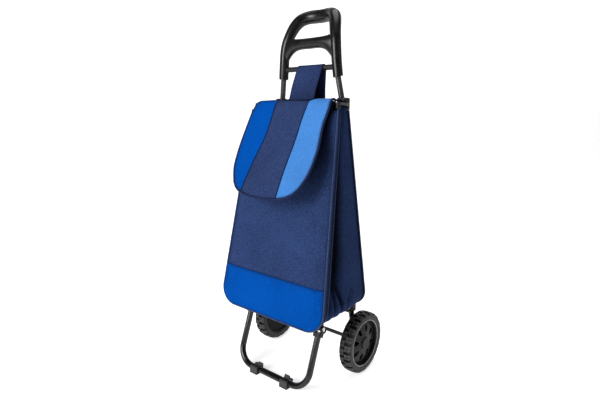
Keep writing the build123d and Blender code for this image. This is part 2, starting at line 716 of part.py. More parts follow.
bag_outer = sides_of(0.0, BAG_TOP_Z, CORNER_R)
bag_inner = sides_of(CLOTH, BAG_TOP_Z + 20, CORNER_R - CLOTH)

with BuildPart() as skin:
    add(bag_outer)
    add(bag_inner, mode=Mode.SUBTRACT)

with BuildPart() as bag_floor:
    add(skin.part)
    split(bisect_by=Plane((0, 0, BAG_SPLIT_Z)), keep=Keep.BOTTOM)
save(bag_floor.part, "bag_floor")

for side, s in SIDES:
    with BuildPart() as gusset:
        add(skin.part)
        split(bisect_by=Plane((0, 0, BAG_SPLIT_Z)), keep=Keep.TOP)
        split(bisect_by=Plane.YZ, keep=Keep.TOP if s > 0 else Keep.BOTTOM)
    save(gusset.part, f"gusset_{side}")

front_sheet = panel_plane(front_in, HEM_Z)
tab_rise = (JOINT_Z + 1.5 - HEM_Z) * rise(front_in)
top_rise = (BAG_TOP_Z - HEM_Z) * rise(front_in)
band_rise = (BAND_TOP_Z - HEM_Z) * rise(front_in)
hem_half = front_half(HEM_Z)
top_half = front_half(BAG_TOP_Z)
with BuildPart() as front_panel:
    with BuildSketch(front_sheet) as front_shape:
        with BuildLine():
            Polyline((-hem_half, 0), (hem_half, 0), (top_half, top_rise), (-top_half, top_rise), close=True)
        make_face()
        fillet(front_shape.vertices().group_by(Axis.Y)[0], CORNER_R)
        with Locations((0, (top_rise + tab_rise) / 2)):
            Rectangle(2 * HEM_TAB_X, tab_rise - top_rise)
    extrude(amount=PANEL)
save(front_panel.part, "front_panel")

with BuildPart() as bottom_band:
    with BuildSketch(front_sheet.offset(PANEL)) as band_shape:
        with BuildLine():
            Polyline(
                (-hem_half, 0), (hem_half, 0), (front_half(BAND_TOP_Z), band_rise),
                (-front_half(BAND_TOP_Z), band_rise), close=True)
        make_face()
        fillet(band_shape.vertices().group_by(Axis.Y)[0], CORNER_R)
    extrude(amount=BAND_T)
save(bottom_band.part, "bottom_band")


def piping(plane, low, high, height, radius, node):
    out = PIPING_R + SEAT
    lean = (low - high) / height
    grow = out * sqrt(1 + lean * lean)
    with BuildPart() as cord:
        with BuildLine(plane) as cord_path:
            FilletPolyline(
                (high + grow, height), (low + grow + lean * out, -out), (-low - grow - lean * out, -out),
                (-high - grow, height), radius=radius + out)
        with BuildSketch(Plane(cord_path.line @ 0, z_dir=cord_path.line % 0)):
            Circle(PIPING_R)
        sweep(path=cord_path.line)
    save(cord.part, node)


piping(front_sheet.offset(PANEL / 2), hem_half, top_half, top_rise, CORNER_R, "front_piping")

back_sheet = panel_plane(back_ahead, BACK_LOW_Z)
back_low = back_half(BACK_LOW_Z)
back_high = back_half(BAG_TOP_Z)
back_rise = (BAG_TOP_Z - BACK_LOW_Z) * rise(back_ahead)
back_tab = (FLAP_HINGE_Z - GAP - BACK_LOW_Z) * rise(back_ahead)
tab_half = UPRIGHT_TOP_X + BLOCK_OUT - BLOCK_X / 2 - 1.5
with BuildPart() as back_panel:
    with BuildSketch(back_sheet) as back_shape:
        with BuildLine():
            Polyline(
                (-back_low, 0), (back_low, 0), (back_high, back_rise), (-back_high, back_rise), close=True)
        make_face()
        fillet(back_shape.vertices().group_by(Axis.Y)[0], CORNER_R)
        with Locations((0, (back_rise + back_tab) / 2)):
            Rectangle(2 * tab_half, back_tab - back_rise)
    extrude(amount=-PANEL)
save(back_panel.part, "back_panel")
piping(back_sheet, back_low, back_high, back_rise, CORNER_R, "back_piping")

# Webbing loops that hold the back panel to the uprights
for side, s in SIDES:
    foot, top = upright_line(s)
    low = on_line(foot, top, LOOP_Z - LOOP_W / 2)
    r_in = TUBE_D / 2 + 0.2
    wall = TUBE_D / 2 + GAP
    with BuildPart() as loop:
        with BuildSketch(along(low, top)):
            Circle(r_in + LOOP_T)
            with Locations((wall - LOOP_T / 2 - 0.2, 0)):
                Rectangle(LOOP_T, 44)
            with Locations((wall + 14.8, 0)):
                Rectangle(30, 60, mode=Mode.SUBTRACT)
            Circle(r_in, mode=Mode.SUBTRACT)
        extrude(amount=LOOP_W)
    save(loop.part, f"frame_loop_{side}")

# Flap: one bent sheet cut to a rounded outline, in three strips with a bound edge
edge = (y_of(FLAP_EDGE_AHEAD), FLAP_EDGE_Z)
flap_tip = (y_of(FLAP_EDGE_AHEAD + FLAP_SLOPE * (FLAP_EDGE_Z - 450)), 450.0)
hinge = (y_of(FLAP_HINGE_AHEAD), FLAP_HINGE_Z)


def unit(p, q):
    n = sqrt((q[0] - p[0]) ** 2 + (q[1] - p[1]) ** 2)
    return ((q[0] - p[0]) / n, (q[1] - p[1]) / n)


def sheet(under, thick):
    # Bent sheet between two offsets of the flap's underside line, in side view
    d1, d2 = unit(hinge, edge), unit(edge, flap_tip)
    n1, n2 = (d1[1], -d1[0]), (d2[1], -d2[0])
    if n1[1] < 0:
        n1, n2 = (-n1[0], -n1[1]), (-n2[0], -n2[1])

    def bent(off):
        a = (hinge[0] + n1[0] * off, hinge[1] + n1[1] * off)
        c = (flap_tip[0] + n2[0] * off, flap_tip[1] + n2[1] * off)
        cross = d1[0] * d2[1] - d1[1] * d2[0]
        t = ((c[0] - a[0]) * d2[1] - (c[1] - a[1]) * d2[0]) / cross
        return a, (a[0] + d1[0] * t, a[1] + d1[1] * t), c

    lo, hi = bent(under), bent(under + thick)
    with BuildPart() as body:
        with BuildSketch(Plane.YZ):
            with BuildLine():
                f1 = FilletPolyline(*lo, radius=FLAP_BEND + under)
                f2 = FilletPolyline(*hi, radius=FLAP_BEND + under + thick)
                Line(f1 @ 0, f2 @ 0)
                Line(f1 @ 1, f2 @ 1)
            make_face()
        extrude(amount=FLAP_LOW_HALF + 20, both=True)
    return body.part


def flap_outline(out):
    # Front view of the flap, its notches clear of the joint blocks left for later
    top = FLAP_HINGE_Z + 20
    lw = FLAP_LOW_HALF + out
    tw = FLAP_TOP_HALF + out
    low = FLAP_LOW_Z - out
    with BuildPart() as prism:
        with BuildSketch(Plane.XZ):
            with BuildLine():
                o1 = Polyline((-tw, top), (tw, top), (lw, 585))
                o2 = Spline(
                    o1 @ 1, (lw - 4.5, 540), (lw - 21, 500), (lw - 60, low + 5), (0, low),
                    (60 - lw, low + 5), (21 - lw, 500), (4.5 - lw, 540), (-lw, 585))
                Line(o2 @ 1, o1 @ 0)
            make_face()
        extrude(amount=400, both=True)
    return prism.part


with BuildPart() as middle_zone:
    with BuildSketch(Plane.XZ):
        with BuildLine():
            k = (STRIPE_LOW_HALF - STRIPE_TOP_HALF) / (FLAP_HINGE_Z - FLAP_LOW_Z)
            wide = STRIPE_LOW_HALF + 40 * k
            slim = STRIPE_TOP_HALF - 40 * k
            Polyline(
                (-slim, FLAP_HINGE_Z + 40), (slim, FLAP_HINGE_Z + 40), (wide, FLAP_LOW_Z - 40),
                (-wide, FLAP_LOW_Z - 40), close=True)
        make_face()
    extrude(amount=400, both=True)

block_front = y_of(UPRIGHT_LEAN + 0.5) - BLOCK_Y / 2
with BuildPart() as block_room:
    with BuildSketch(Plane((0, 0, FLAP_HINGE_Z - 20))):
        with Locations((0, block_front - FLAP_NOTCH + 30)):
            Rectangle(400, 60)
        with Locations((0, 0)):
            Rectangle(2 * (tab_half - 1.0), 400, mode=Mode.SUBTRACT)
    extrude(amount=60)

with BuildPart() as flap_body:
    add(sheet(0.0, FLAP_T))
    add(flap_outline(-BINDING_OUT), mode=Mode.INTERSECT)
    add(block_room.part, mode=Mode.SUBTRACT)

with BuildPart() as flap_middle:
    add(flap_body.part)
    add(middle_zone.part, mode=Mode.INTERSECT)
save(flap_middle.part, "flap_middle")

for side, s in SIDES:
    with BuildPart() as strip:
        add(flap_body.part)
        add(middle_zone.part, mode=Mode.SUBTRACT)
        split(bisect_by=Plane.YZ, keep=Keep.TOP if s > 0 else Keep.BOTTOM)
    save(strip.part, f"flap_strip_{side}")

with BuildPart() as flap_binding:
    add(sheet(-BINDING_T, FLAP_T + 2 * BINDING_T))
    add(flap_outline(0.0), mode=Mode.INTERSECT)
    add(flap_outline(-BINDING_W), mode=Mode.SUBTRACT)
    add(block_room.part, mode=Mode.SUBTRACT)
    add(sheet(-SEAT, FLAP_T + 2 * SEAT), mode=Mode.SUBTRACT)
    add(sheet(-SEAT, FLAP_T + 2 * SEAT))
    add(flap_outline(0.0), mode=Mode.INTERSECT)
    add(flap_outline(-BINDING_W), mode=Mode.SUBTRACT)
    add(block_room.part, mode=Mode.SUBTRACT)
    add(flap_body.part, mode=Mode.SUBTRACT)
save(flap_binding.part, "flap_binding")

# Hanging strap: over the rod, its front run sewn to the flap, its tail to the back panel
rod_at = (rod_y, ROD_Z)
land_t = (y_of(STRAP_LAND_AHEAD) - hinge[0]) / (edge[0] - hinge[0])
land = (y_of(STRAP_LAND_AHEAD), hinge[1] + (edge[1] - hinge[1]) * land_t + FLAP_T + 0.4)
tail_top = (y_of(back_ahead(FLAP_HINGE_Z + 6) - PANEL - 1.2), FLAP_HINGE_Z + 6)
tail_low = (y_of(back_ahead(STRAP_TAIL_Z) - PANEL) + 0.1, STRAP_TAIL_Z)
tail_mid = (y_of(back_ahead(FLAP_HINGE_Z - 4) - PANEL) + 0.1, FLAP_HINGE_Z - 4)


def tangent(point, radius, sign):
    dy, dz = point[0] - rod_at[0], point[1] - rod_at[1]
    dist = sqrt(dy * dy + dz * dz)
    base = atan2(dz, dy)
    turn = sign * atan2(sqrt(dist * dist - radius * radius), radius)
    return (rod_at[0] + radius * cos(base + turn), rod_at[1] + radius * sin(base + turn))


r_in = ROD_D / 2 + 0.2
r_out = r_in + STRAP_T
front_dir = unit(land, rod_at)
side_off = (-front_dir[1] * STRAP_T, front_dir[0] * STRAP_T)
land_out = (land[0] + side_off[0], land[1] + side_off[1] + 0.75)
tail_out = (tail_mid[0] + STRAP_T, tail_mid[1])
with BuildPart() as strap:
    with BuildSketch(Plane.YZ.offset(STRAP_SHIFT - STRAP_HALF)):
        with BuildLine():
            ti, to = tangent(land, r_in, -1), tangent(land_out, r_out, -1)
            bi, bo = tangent(tail_mid, r_in, 1), tangent(tail_out, r_out, 1)
            s1 = Line(land, ti)
            s2 = ThreePointArc(ti, (rod_at[0], rod_at[1] + r_in), bi)
            s3 = Polyline(bi, tail_mid, tail_low, (tail_low[0] + STRAP_T, tail_low[1]), tail_out, bo)
            s4 = ThreePointArc(bo, (rod_at[0], rod_at[1] + r_out), to)
            s5 = Polyline(to, land_out, land)
        make_face()
    extrude(amount=2 * STRAP_HALF)
save(strap.part, "hanging_strap")
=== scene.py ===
import math
import bmesh
import bpy
import numpy as np
from mathutils import Matrix, Vector, noise


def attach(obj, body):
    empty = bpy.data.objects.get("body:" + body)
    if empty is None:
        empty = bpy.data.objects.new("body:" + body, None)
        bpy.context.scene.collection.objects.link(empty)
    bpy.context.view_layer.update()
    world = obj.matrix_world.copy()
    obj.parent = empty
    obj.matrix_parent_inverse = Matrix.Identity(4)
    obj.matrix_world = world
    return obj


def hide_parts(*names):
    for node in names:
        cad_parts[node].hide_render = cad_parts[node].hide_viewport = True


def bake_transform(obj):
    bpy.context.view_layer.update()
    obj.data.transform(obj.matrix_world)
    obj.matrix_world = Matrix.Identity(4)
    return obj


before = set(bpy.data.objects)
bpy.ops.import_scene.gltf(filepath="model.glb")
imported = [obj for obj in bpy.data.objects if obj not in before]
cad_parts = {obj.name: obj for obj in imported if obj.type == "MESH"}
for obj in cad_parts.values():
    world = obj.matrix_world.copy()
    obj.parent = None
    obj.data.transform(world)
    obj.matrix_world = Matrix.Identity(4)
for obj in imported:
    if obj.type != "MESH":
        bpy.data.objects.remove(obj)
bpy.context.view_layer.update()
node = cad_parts

MM = 0.001
SIDES = (("left", -1), ("right", 1))
# places of the solids in millimetres, as in the part's source ("ahead" is measured forward from the axle)
AXLE_Y = 72.5
WHEEL_R, TRACK_HALF = 80.0, 148.0
UPRIGHT_FOOT_X, UPRIGHT_IN, UPRIGHT_AHEAD, UPRIGHT_RISE = 122.0, 25.5, 41.0, 610.0


# ---------------------------------------------------------------- shape helpers (millimetres in, metres out)
def smooth(a, b, x):
    """Eases from 0 at a to 1 at b, where b may be the lower of the two."""
    t = np.clip((np.asarray(x, float) - a) / (b - a), 0.0, 1.0)
    return t * t * (3 - 2 * t)


def ripple(p, scale, seed):
    """Soft noise at each point of an array (..., 3) in millimetres."""
    flat = np.asarray(p, float).reshape(-1, 3) * scale + seed
    return np.array([noise.noise(Vector(q)) for q in flat]).reshape(np.shape(p)[:-1])


def run_of(points):
    """Length along a line up to each of its points."""
    return np.concatenate([[0], np.cumsum(np.linalg.norm(np.diff(points, axis=0), axis=1))])


def along(line, run, want):
    """The points of a line at the wanted lengths."""
    return np.stack([np.interp(want, run, line[:, k]) for k in range(line.shape[1])], -1)


def unit(vectors):
    """The same directions with the length 1."""
    return vectors / np.maximum(np.linalg.norm(vectors, axis=-1, keepdims=True), 1e-9)


def finish_mesh(name, points, faces, uvs, materials, marks=None):
    """A smooth-shaded object of a mesh given in millimetres, with one UV pair for each point."""
    mesh = bpy.data.meshes.new(name)
    mesh.from_pydata([tuple(c) for c in np.asarray(points) * MM], [], faces)
    layer = mesh.uv_layers.new(name="UVMap")
    corner = np.array([uvs[v] for f in faces for v in f], float) * MM
    layer.data.foreach_set("uv", corner.ravel())
    for m in materials:
        mesh.materials.append(m)
    if marks is not None:
        mesh.polygons.foreach_set("material_index", np.asarray(marks, np.int32))
    mesh.polygons.foreach_set("use_smooth", [True] * len(mesh.polygons))
    mesh.update()
    made = bpy.data.objects.new(name, mesh)
    bpy.context.scene.collection.objects.link(made)
    return made


def sheet_mesh(name, grid, thick, material, inner=None, flip=False, shade=None):
    """A cloth sheet through a grid of points (rows, columns, 3), given its thickness away from the outer face."""
    g = np.asarray(grid, float)
    rows, cols = g.shape[:2]
    n = unit(np.cross(np.gradient(g, axis=1), np.gradient(g, axis=0)))
    if flip:
        n = -n
    back = g - n * thick
    down, over = (np.linalg.norm(np.diff(g, axis=k), axis=2) for k in (0, 1))
    v_len = np.concatenate([np.zeros((1, cols)), np.cumsum(down, axis=0)])
    u_len = np.concatenate([np.zeros((rows, 1)), np.cumsum(over, axis=1)], axis=1)
    uv = np.stack([u_len, v_len], -1).reshape(-1, 2)
    points = np.concatenate([g.reshape(-1, 3), back.reshape(-1, 3)])
    uvs = np.concatenate([uv, uv])
    count = rows * cols
    faces, marks = [], []

    def quad(a, b, c, d, mark):
        faces.append((a, d, c, b) if flip else (a, b, c, d))
        marks.append(mark)

    inside = 0 if inner is None else 1
    for i in range(rows - 1):
        for j in range(cols - 1):
            a, b, c, d = i * cols + j, i * cols + j + 1, (i + 1) * cols + j + 1, (i + 1) * cols + j
            quad(a, b, c, d, 0)
            quad(a + count, d + count, c + count, b + count, inside)
    for a in range(cols - 1):
        quad(a + 1, a, a + count, a + 1 + count, 0)
        e = (rows - 1) * cols + a
        quad(e, e + 1, e + 1 + count, e + count, 0)
    for i in range(rows - 1):
        a, b = i * cols, (i + 1) * cols
        quad(a, b, b + count, a + count, 0)
        e, f = a + cols - 1, b + cols - 1
        quad(f, e, e + count, f + count, 0)
    made = finish_mesh(name, points, faces, uvs, [material] + ([inner] if inner else []), marks)
    # painted shade: a darkening for each point, read by the cloth material as fold_shade
    if shade is not None:
        layer = made.data.attributes.new("fold_shade", "FLOAT", "POINT")
        layer.data.foreach_set("value", np.tile(np.asarray(shade, float).ravel(), 2))
    return made


def sweep_mesh(name, path, across, section, material, closed=False):
    """A tube of a section, a list of (side, up) offsets, along a path; across gives each point's side direction."""
    p = np.asarray(path, float)
    tangent = unit(np.gradient(p, axis=0))
    side = np.asarray(across, float)
    side = unit(side - tangent * np.sum(side * tangent, axis=1, keepdims=True))
    up = np.cross(tangent, side)
    sec = np.asarray(section, float)
    ring = p[:, None] + side[:, None] * sec[None, :, :1] + up[:, None] * sec[None, :, 1:]
    m, n = ring.shape[:2]
    uvs = np.stack(np.meshgrid(run_of(sec), run_of(p)), -1).reshape(-1, 2)
    faces = [
        (i * n + j, (i + 1) * n + j, (i + 1) * n + (j + 1) % n, i * n + (j + 1) % n)
        for i in range(m - 1) for j in range(n)]
    if closed:
        faces += [((m - 1) * n + j, j, (j + 1) % n, (m - 1) * n + (j + 1) % n) for j in range(n)]
    else:
        faces += [tuple(range(n)), tuple(reversed(range((m - 1) * n, m * n)))]
    return finish_mesh(name, ring.reshape(-1, 3), faces, uvs, [material])


def oval(a, b, n=12):
    """Section of a cord with the half widths a and b."""
    return [(a * math.cos(2 * math.pi * k / n), b * math.sin(2 * math.pi * k / n)) for k in range(n)]


def spaced(points, step):
    """The same line with points about step apart."""
    p = np.asarray(points, float)
    run = run_of(p)
    return along(p, run, np.linspace(0, run[-1], max(2, int(run[-1] / step) + 1)))


def curve_through(points, step=2.0):
    """Catmull-Rom line through the points."""
    p = np.asarray(points, float)
    p = np.concatenate([[2 * p[0] - p[1]], p, [2 * p[-1] - p[-2]]])
    t = np.linspace(0, 1, 24, endpoint=False)[:, None]
    out = []
    for a, b, c, d in zip(p, p[1:], p[2:], p[3:]):
        bend = (2 * a - 5 * b + 4 * c - d) * t ** 2 + (3 * b - a - 3 * c + d) * t ** 3
        out.append(0.5 * (2 * b + (c - a) * t + bend))
    out.append(p[-2:-1])
    return spaced(np.concatenate(out), step)


# ---------------------------------------------------------------- materials
def new_material(name):
    """A node material, its tree and its shader."""
    m = bpy.data.materials.new(name)
    m.use_nodes = True
    tree = m.node_tree
    shader = tree.nodes["Principled BSDF"]
    return m, tree, shader


def add_node(tree, kind, **values):
    """A node whose inputs, or else its properties, have the values."""
    n = tree.nodes.new(kind)
    for k, v in values.items():
        if k in n.inputs:
            n.inputs[k].default_value = v
        else:
            setattr(n, k, v)
    return n


def mixed(tree, factor, low, high):
    """A colour ramp between two stops, each a place from 0 to 1 and a colour."""
    ramp = add_node(tree, "ShaderNodeValToRGB")
    for stop, (place, colour) in zip(ramp.color_ramp.elements, (low, high)):
        stop.position = place
        stop.color = (*colour, 1)
    tree.links.new(factor, ramp.inputs["Fac"])
    return ramp.outputs["Color"]


def map_range(tree, value, low, high, to_low, to_high):
    """A value brought from one range to another."""
    n = add_node(tree, "ShaderNodeMapRange")
    tree.links.new(value, n.inputs["Value"])
    for socket, number in (("From Min", low), ("From Max", high), ("To Min", to_low), ("To Max", to_high)):
        n.inputs[socket].default_value = number
    return n.outputs["Result"]


def times(tree, colour, factor):
    """A colour darkened by a factor."""
    n = add_node(tree, "ShaderNodeMix", data_type="RGBA", blend_type="MULTIPLY")
    n.inputs["Factor"].default_value = 1.0
    tree.links.new(colour, n.inputs["A"])
    tree.links.new(factor, n.inputs["B"])
    return n.outputs["Result"]


# sizes of the surface detail and of the painted shade in folds: scales per metre, depths and reach in metres
CLOUD_SCALE, FLECK_SCALE, THREAD_SCALE, GRAIN_SCALE = 9.0, 560.0, 310.0, 900.0
WEAVE_DEPTH, GRAIN_DEPTH, FOLD_SHADE_REACH = 0.0006, 0.0002, 0.06
FLECK_SHARE, CLOUD_SHARE = 0.91, 0.09


def cloth(name, tone, spread=0.32, rough=0.78, weave=0.9, spec=0.03, fold_shade_floor=0.12):
    """Woven polyester: two crossed thread waves for the bump, fine flecks of colour, painted shade deep in its
    folds.
    """
    m, tree, shader = new_material(name)
    link = tree.links.new
    coords = add_node(tree, "ShaderNodeTexCoord")
    blotch = add_node(tree, "ShaderNodeTexNoise", Scale=CLOUD_SCALE, Detail=3.0, Roughness=0.5)
    link(coords.outputs["Object"], blotch.inputs["Vector"])
    grain = add_node(tree, "ShaderNodeTexNoise", Scale=FLECK_SCALE, Detail=2.0, Roughness=0.7)
    link(coords.outputs["Object"], grain.inputs["Vector"])
    threads = add_node(tree, "ShaderNodeMath", operation="MULTIPLY")
    for socket, way in zip(threads.inputs, "XY"):
        thread = add_node(tree, "ShaderNodeTexWave", Scale=THREAD_SCALE, Distortion=0.6, bands_direction=way)
        link(coords.outputs["UV"], thread.inputs["Vector"])
        link(thread.outputs["Fac"], socket)
    fleck = add_node(tree, "ShaderNodeMath", operation="MULTIPLY_ADD")
    link(grain.outputs["Fac"], fleck.inputs[0])
    fleck.inputs[1].default_value = FLECK_SHARE
    link(map_range(tree, blotch.outputs["Fac"], 0.3, 0.7, 0.0, CLOUD_SHARE), fleck.inputs[2])
    dark = [c * (1 - spread) for c in tone]
    light = [c * (1 + spread) for c in tone]
    colour = mixed(tree, fleck.outputs[0], (0.4, dark), (0.6, light))
    # painted shade: the colour darkens where folds and nearby parts hem the cloth in (ambient occlusion)
    painted_fold_shade = add_node(tree, "ShaderNodeAmbientOcclusion", samples=8, Distance=FOLD_SHADE_REACH)
    colour = times(tree, colour, map_range(tree, painted_fold_shade.outputs["AO"], 0.3, 0.95, fold_shade_floor, 1.0))
    # painted shade: the fold_shade value of each point darkens the colour, deepest in the gusset's crease
    deep = add_node(tree, "ShaderNodeAttribute", attribute_name="fold_shade")
    colour = times(tree, colour, map_range(tree, deep.outputs["Fac"], 0.0, 1.0, 1.0, 0.0))
    link(colour, shader.inputs["Base Color"])
    link(map_range(tree, blotch.outputs["Fac"], 0.0, 1.0, rough - 0.08, rough + 0.1), shader.inputs["Roughness"])
    shader.inputs["Specular IOR Level"].default_value = spec
    height = add_node(tree, "ShaderNodeMath", operation="ADD")
    link(threads.outputs[0], height.inputs[0])
    link(grain.outputs["Fac"], height.inputs[1])
    bump = add_node(tree, "ShaderNodeBump", Strength=0.4 * weave, Distance=WEAVE_DEPTH)
    link(height.outputs[0], bump.inputs["Height"])
    link(bump.outputs["Normal"], shader.inputs["Normal"])
    return m


def hard(name, dark, light, rough, scale=60.0, bump=0.25, metal=0.0, spec=0.5, wear_and_highlight=None, nook_shade_reach=0.014):
    """Plastic, paint, rubber or metal: mottled colour, uneven roughness, fine grain, worn edges that on the tyre are
    also a painted highlight, and painted shade in nooks.
    """
    m, tree, shader = new_material(name)
    link = tree.links.new
    coords = add_node(tree, "ShaderNodeTexCoord")
    blotch = add_node(tree, "ShaderNodeTexNoise", Scale=scale, Detail=5.0, Roughness=0.6)
    link(coords.outputs["Object"], blotch.inputs["Vector"])
    grain = add_node(tree, "ShaderNodeTexNoise", Scale=GRAIN_SCALE, Detail=3.0, Roughness=0.6)
    link(coords.outputs["Object"], grain.inputs["Vector"])
    colour = mixed(tree, blotch.outputs["Fac"], (0.3, dark), (0.72, light))
    if wear_and_highlight:
        # lighter edges: rubbed wear, and on the tyre also a painted highlight along the tread's edges
        edge = add_node(tree, "ShaderNodeNewGeometry")
        rub_and_highlight = add_node(tree, "ShaderNodeMath", operation="MULTIPLY")
        link(map_range(tree, edge.outputs["Pointiness"], 0.52, 0.62, 0.0, 1.0), rub_and_highlight.inputs[0])
        link(grain.outputs["Fac"], rub_and_highlight.inputs[1])
        mix = add_node(tree, "ShaderNodeMix", data_type="RGBA")
        link(rub_and_highlight.outputs[0], mix.inputs["Factor"])
        link(colour, mix.inputs["A"])
        mix.inputs["B"].default_value = (*wear_and_highlight, 1)
        colour = mix.outputs["Result"]
        # painted shade: the colour darkens in nooks that little light reaches (ambient occlusion)
        nook_shade = add_node(tree, "ShaderNodeAmbientOcclusion", samples=8, Distance=nook_shade_reach)
        colour = times(tree, colour, map_range(tree, nook_shade.outputs["AO"], 0.35, 0.8, 0.06, 1.0))
    shader.inputs["Specular IOR Level"].default_value = spec
    link(colour, shader.inputs["Base Color"])
    uneven = map_range(tree, blotch.outputs["Fac"], 0.0, 1.0, max(0.03, rough - 0.1), min(1.0, rough + 0.12))
    link(uneven, shader.inputs["Roughness"])
    shader.inputs["Metallic"].default_value = metal
    rise = add_node(tree, "ShaderNodeBump", Strength=bump, Distance=GRAIN_DEPTH)
    link(grain.outputs["Fac"], rise.inputs["Height"])
    link(rise.outputs["Normal"], shader.inputs["Normal"])
    return m


NAVY = cloth("navy_polyester", (0.017, 0.0325, 0.095), 0.46)
NAVY_FLAP = cloth("navy_flap", (0.0178, 0.0315, 0.0905), 0.44)
INSIDE = cloth("grey_coating", (0.02, 0.024, 0.039), 0.4, rough=0.6)
ROYAL = cloth("royal_polyester", (0.0004, 0.05, 0.262), 0.24, spec=0.01)
SKY = cloth("sky_polyester", (0.042, 0.158, 0.425), 0.2)
PIPING = cloth("navy_piping", (0.02, 0.038, 0.108), 0.35, rough=0.45, weave=0.5, spec=0.12)
BINDING = cloth("navy_binding", (0.01, 0.0165, 0.052), 0.4, rough=0.55)
WEBBING = cloth("black_webbing", (0.012, 0.012, 0.015), 0.5, weave=1.4)
THREAD = cloth("navy_thread", (0.03, 0.045, 0.11), 0.4, rough=0.6)
# dark seams between the flap's strips, and the painted shade of the groove at the front piping
SEAM_AND_GROOVE_SHADE = cloth("dark_seam_and_groove_shade", (0.0035, 0.005, 0.015), 0.4)
# painted light: the strap's inner face is the same navy cloth, made about twice as bright and with less fold shade,
# so the run in shade looks lighter
STRAP_BACK_LIT = cloth("strap_back_painted_light", (0.04, 0.056, 0.17), fold_shade_floor=0.6)
TUBE = hard(
    "black_paint", (0.002, 0.002, 0.0024), (0.006, 0.006, 0.0068), 0.15, spec=0.36, wear_and_highlight=(0.06, 0.06, 0.065))
GRIP = hard(
    "handle_plastic", (0.002, 0.002, 0.0022), (0.006, 0.006, 0.0062), 0.27, spec=0.3, bump=0.12,
    wear_and_highlight=(0.02, 0.02, 0.02))
PLASTIC = hard(
    "black_plastic", (0.002, 0.002, 0.0028), (0.007, 0.007, 0.0078), 0.38, spec=0.24, wear_and_highlight=(0.035, 0.035, 0.035))
# its bright edge colour is partly wear and partly a painted highlight on the tread's edges
RUBBER = hard(
    "tyre_rubber", (0.007, 0.0074, 0.0074), (0.028, 0.0286, 0.0286), 0.56, spec=0.14, bump=0.6, wear_and_highlight=(0.2, 0.2, 0.2),
    nook_shade_reach=0.009)
PAD = hard(
    "pad_rubber", (0.005, 0.005, 0.005), (0.016, 0.016, 0.016), 0.6, spec=0.35, bump=0.4, wear_and_highlight=(0.05, 0.05, 0.05))
# painted highlight: a light-grey ring that stands for the gloss line on the black rim lip
RIM_HIGHLIGHT = hard(
    "wheel_rim_painted_highlight", (0.2, 0.207, 0.203), (0.4, 0.41, 0.405), 0.36, spec=0.4, wear_and_highlight=(0.4, 0.4, 0.4), nook_shade_reach=0.003)
DISC = hard(
    "wheel_plastic", (0.003, 0.0035, 0.0035), (0.0085, 0.009, 0.009), 0.36, spec=0.11, wear_and_highlight=(0.12, 0.12, 0.12),
    nook_shade_reach=0.008)
# painted shade: the CAD disc behind the cone's openings is darker than the wheel's plastic, so the openings look
# deep and black
DISC_PAINTED_SHADE = hard(
    "wheel_disc_painted_shade", (0.0008, 0.001, 0.001), (0.0026, 0.003, 0.003), 0.5, spec=0.09, wear_and_highlight=(0.04, 0.04, 0.04),
    nook_shade_reach=0.012)
ZINC = hard(
    "zinc_steel", (0.42, 0.43, 0.45), (0.6, 0.61, 0.62), 0.32, metal=1.0, wear_and_highlight=(0.7, 0.7, 0.7))

# the hard CAD nodes, which keep their shape
PAINT = {
    "upright": TUBE, "handle_tube": TUBE, "base_tube": TUBE, "foot_tube": TUBE, "axle": TUBE, "handle": GRIP,
    "mouth_hoop": PLASTIC, "hoop_corner": PLASTIC, "strap_rod": PLASTIC, "joint_block": PLASTIC,
    "base_bracket": PLASTIC, "foot_hanger": PLASTIC, "foot_fork": PLASTIC, "axle_washer": PLASTIC,
    "axle_clip": ZINC, "base_pin": ZINC, "foot_pin": ZINC,
    "foot_pad": PAD, "tyre": RUBBER, "wheel_disc": DISC_PAINTED_SHADE, "hub_cap": DISC}
for name, o in node.items():
    kind = name.removesuffix("_left").removesuffix("_right")
    if kind in PAINT:
        o.data.materials.clear()
        o.data.materials.append(PAINT[kind])


# ---------------------------------------------------------------- wheel trim: a cone with openings, and a light ring at the rim that is a painted highlight
FACE_IN, FACE_OUT = 17.4, 54.0       # radii of the cone
FACE_TOP, FACE_LOW = 13.2, 6.2       # how far it stands out of the wheel's middle plane at these radii
FACE_THICK = 1.6
LENS_AT, LENS_L, LENS_W, LENSES, LENS_TURN = 37.5, 25.0, 13.5, 8, -0.25
HIGHLIGHT_RING_R, HIGHLIGHT_RING_OUT = 60.8, 14.5


def wheel_point(s, r, angle, out):
    """A point on the wheel of side s, at a radius and an angle, out from its middle plane."""
    return Vector((s * (TRACK_HALF + out), AXLE_Y + r * math.cos(angle), WHEEL_R + r * math.sin(angle))) * MM


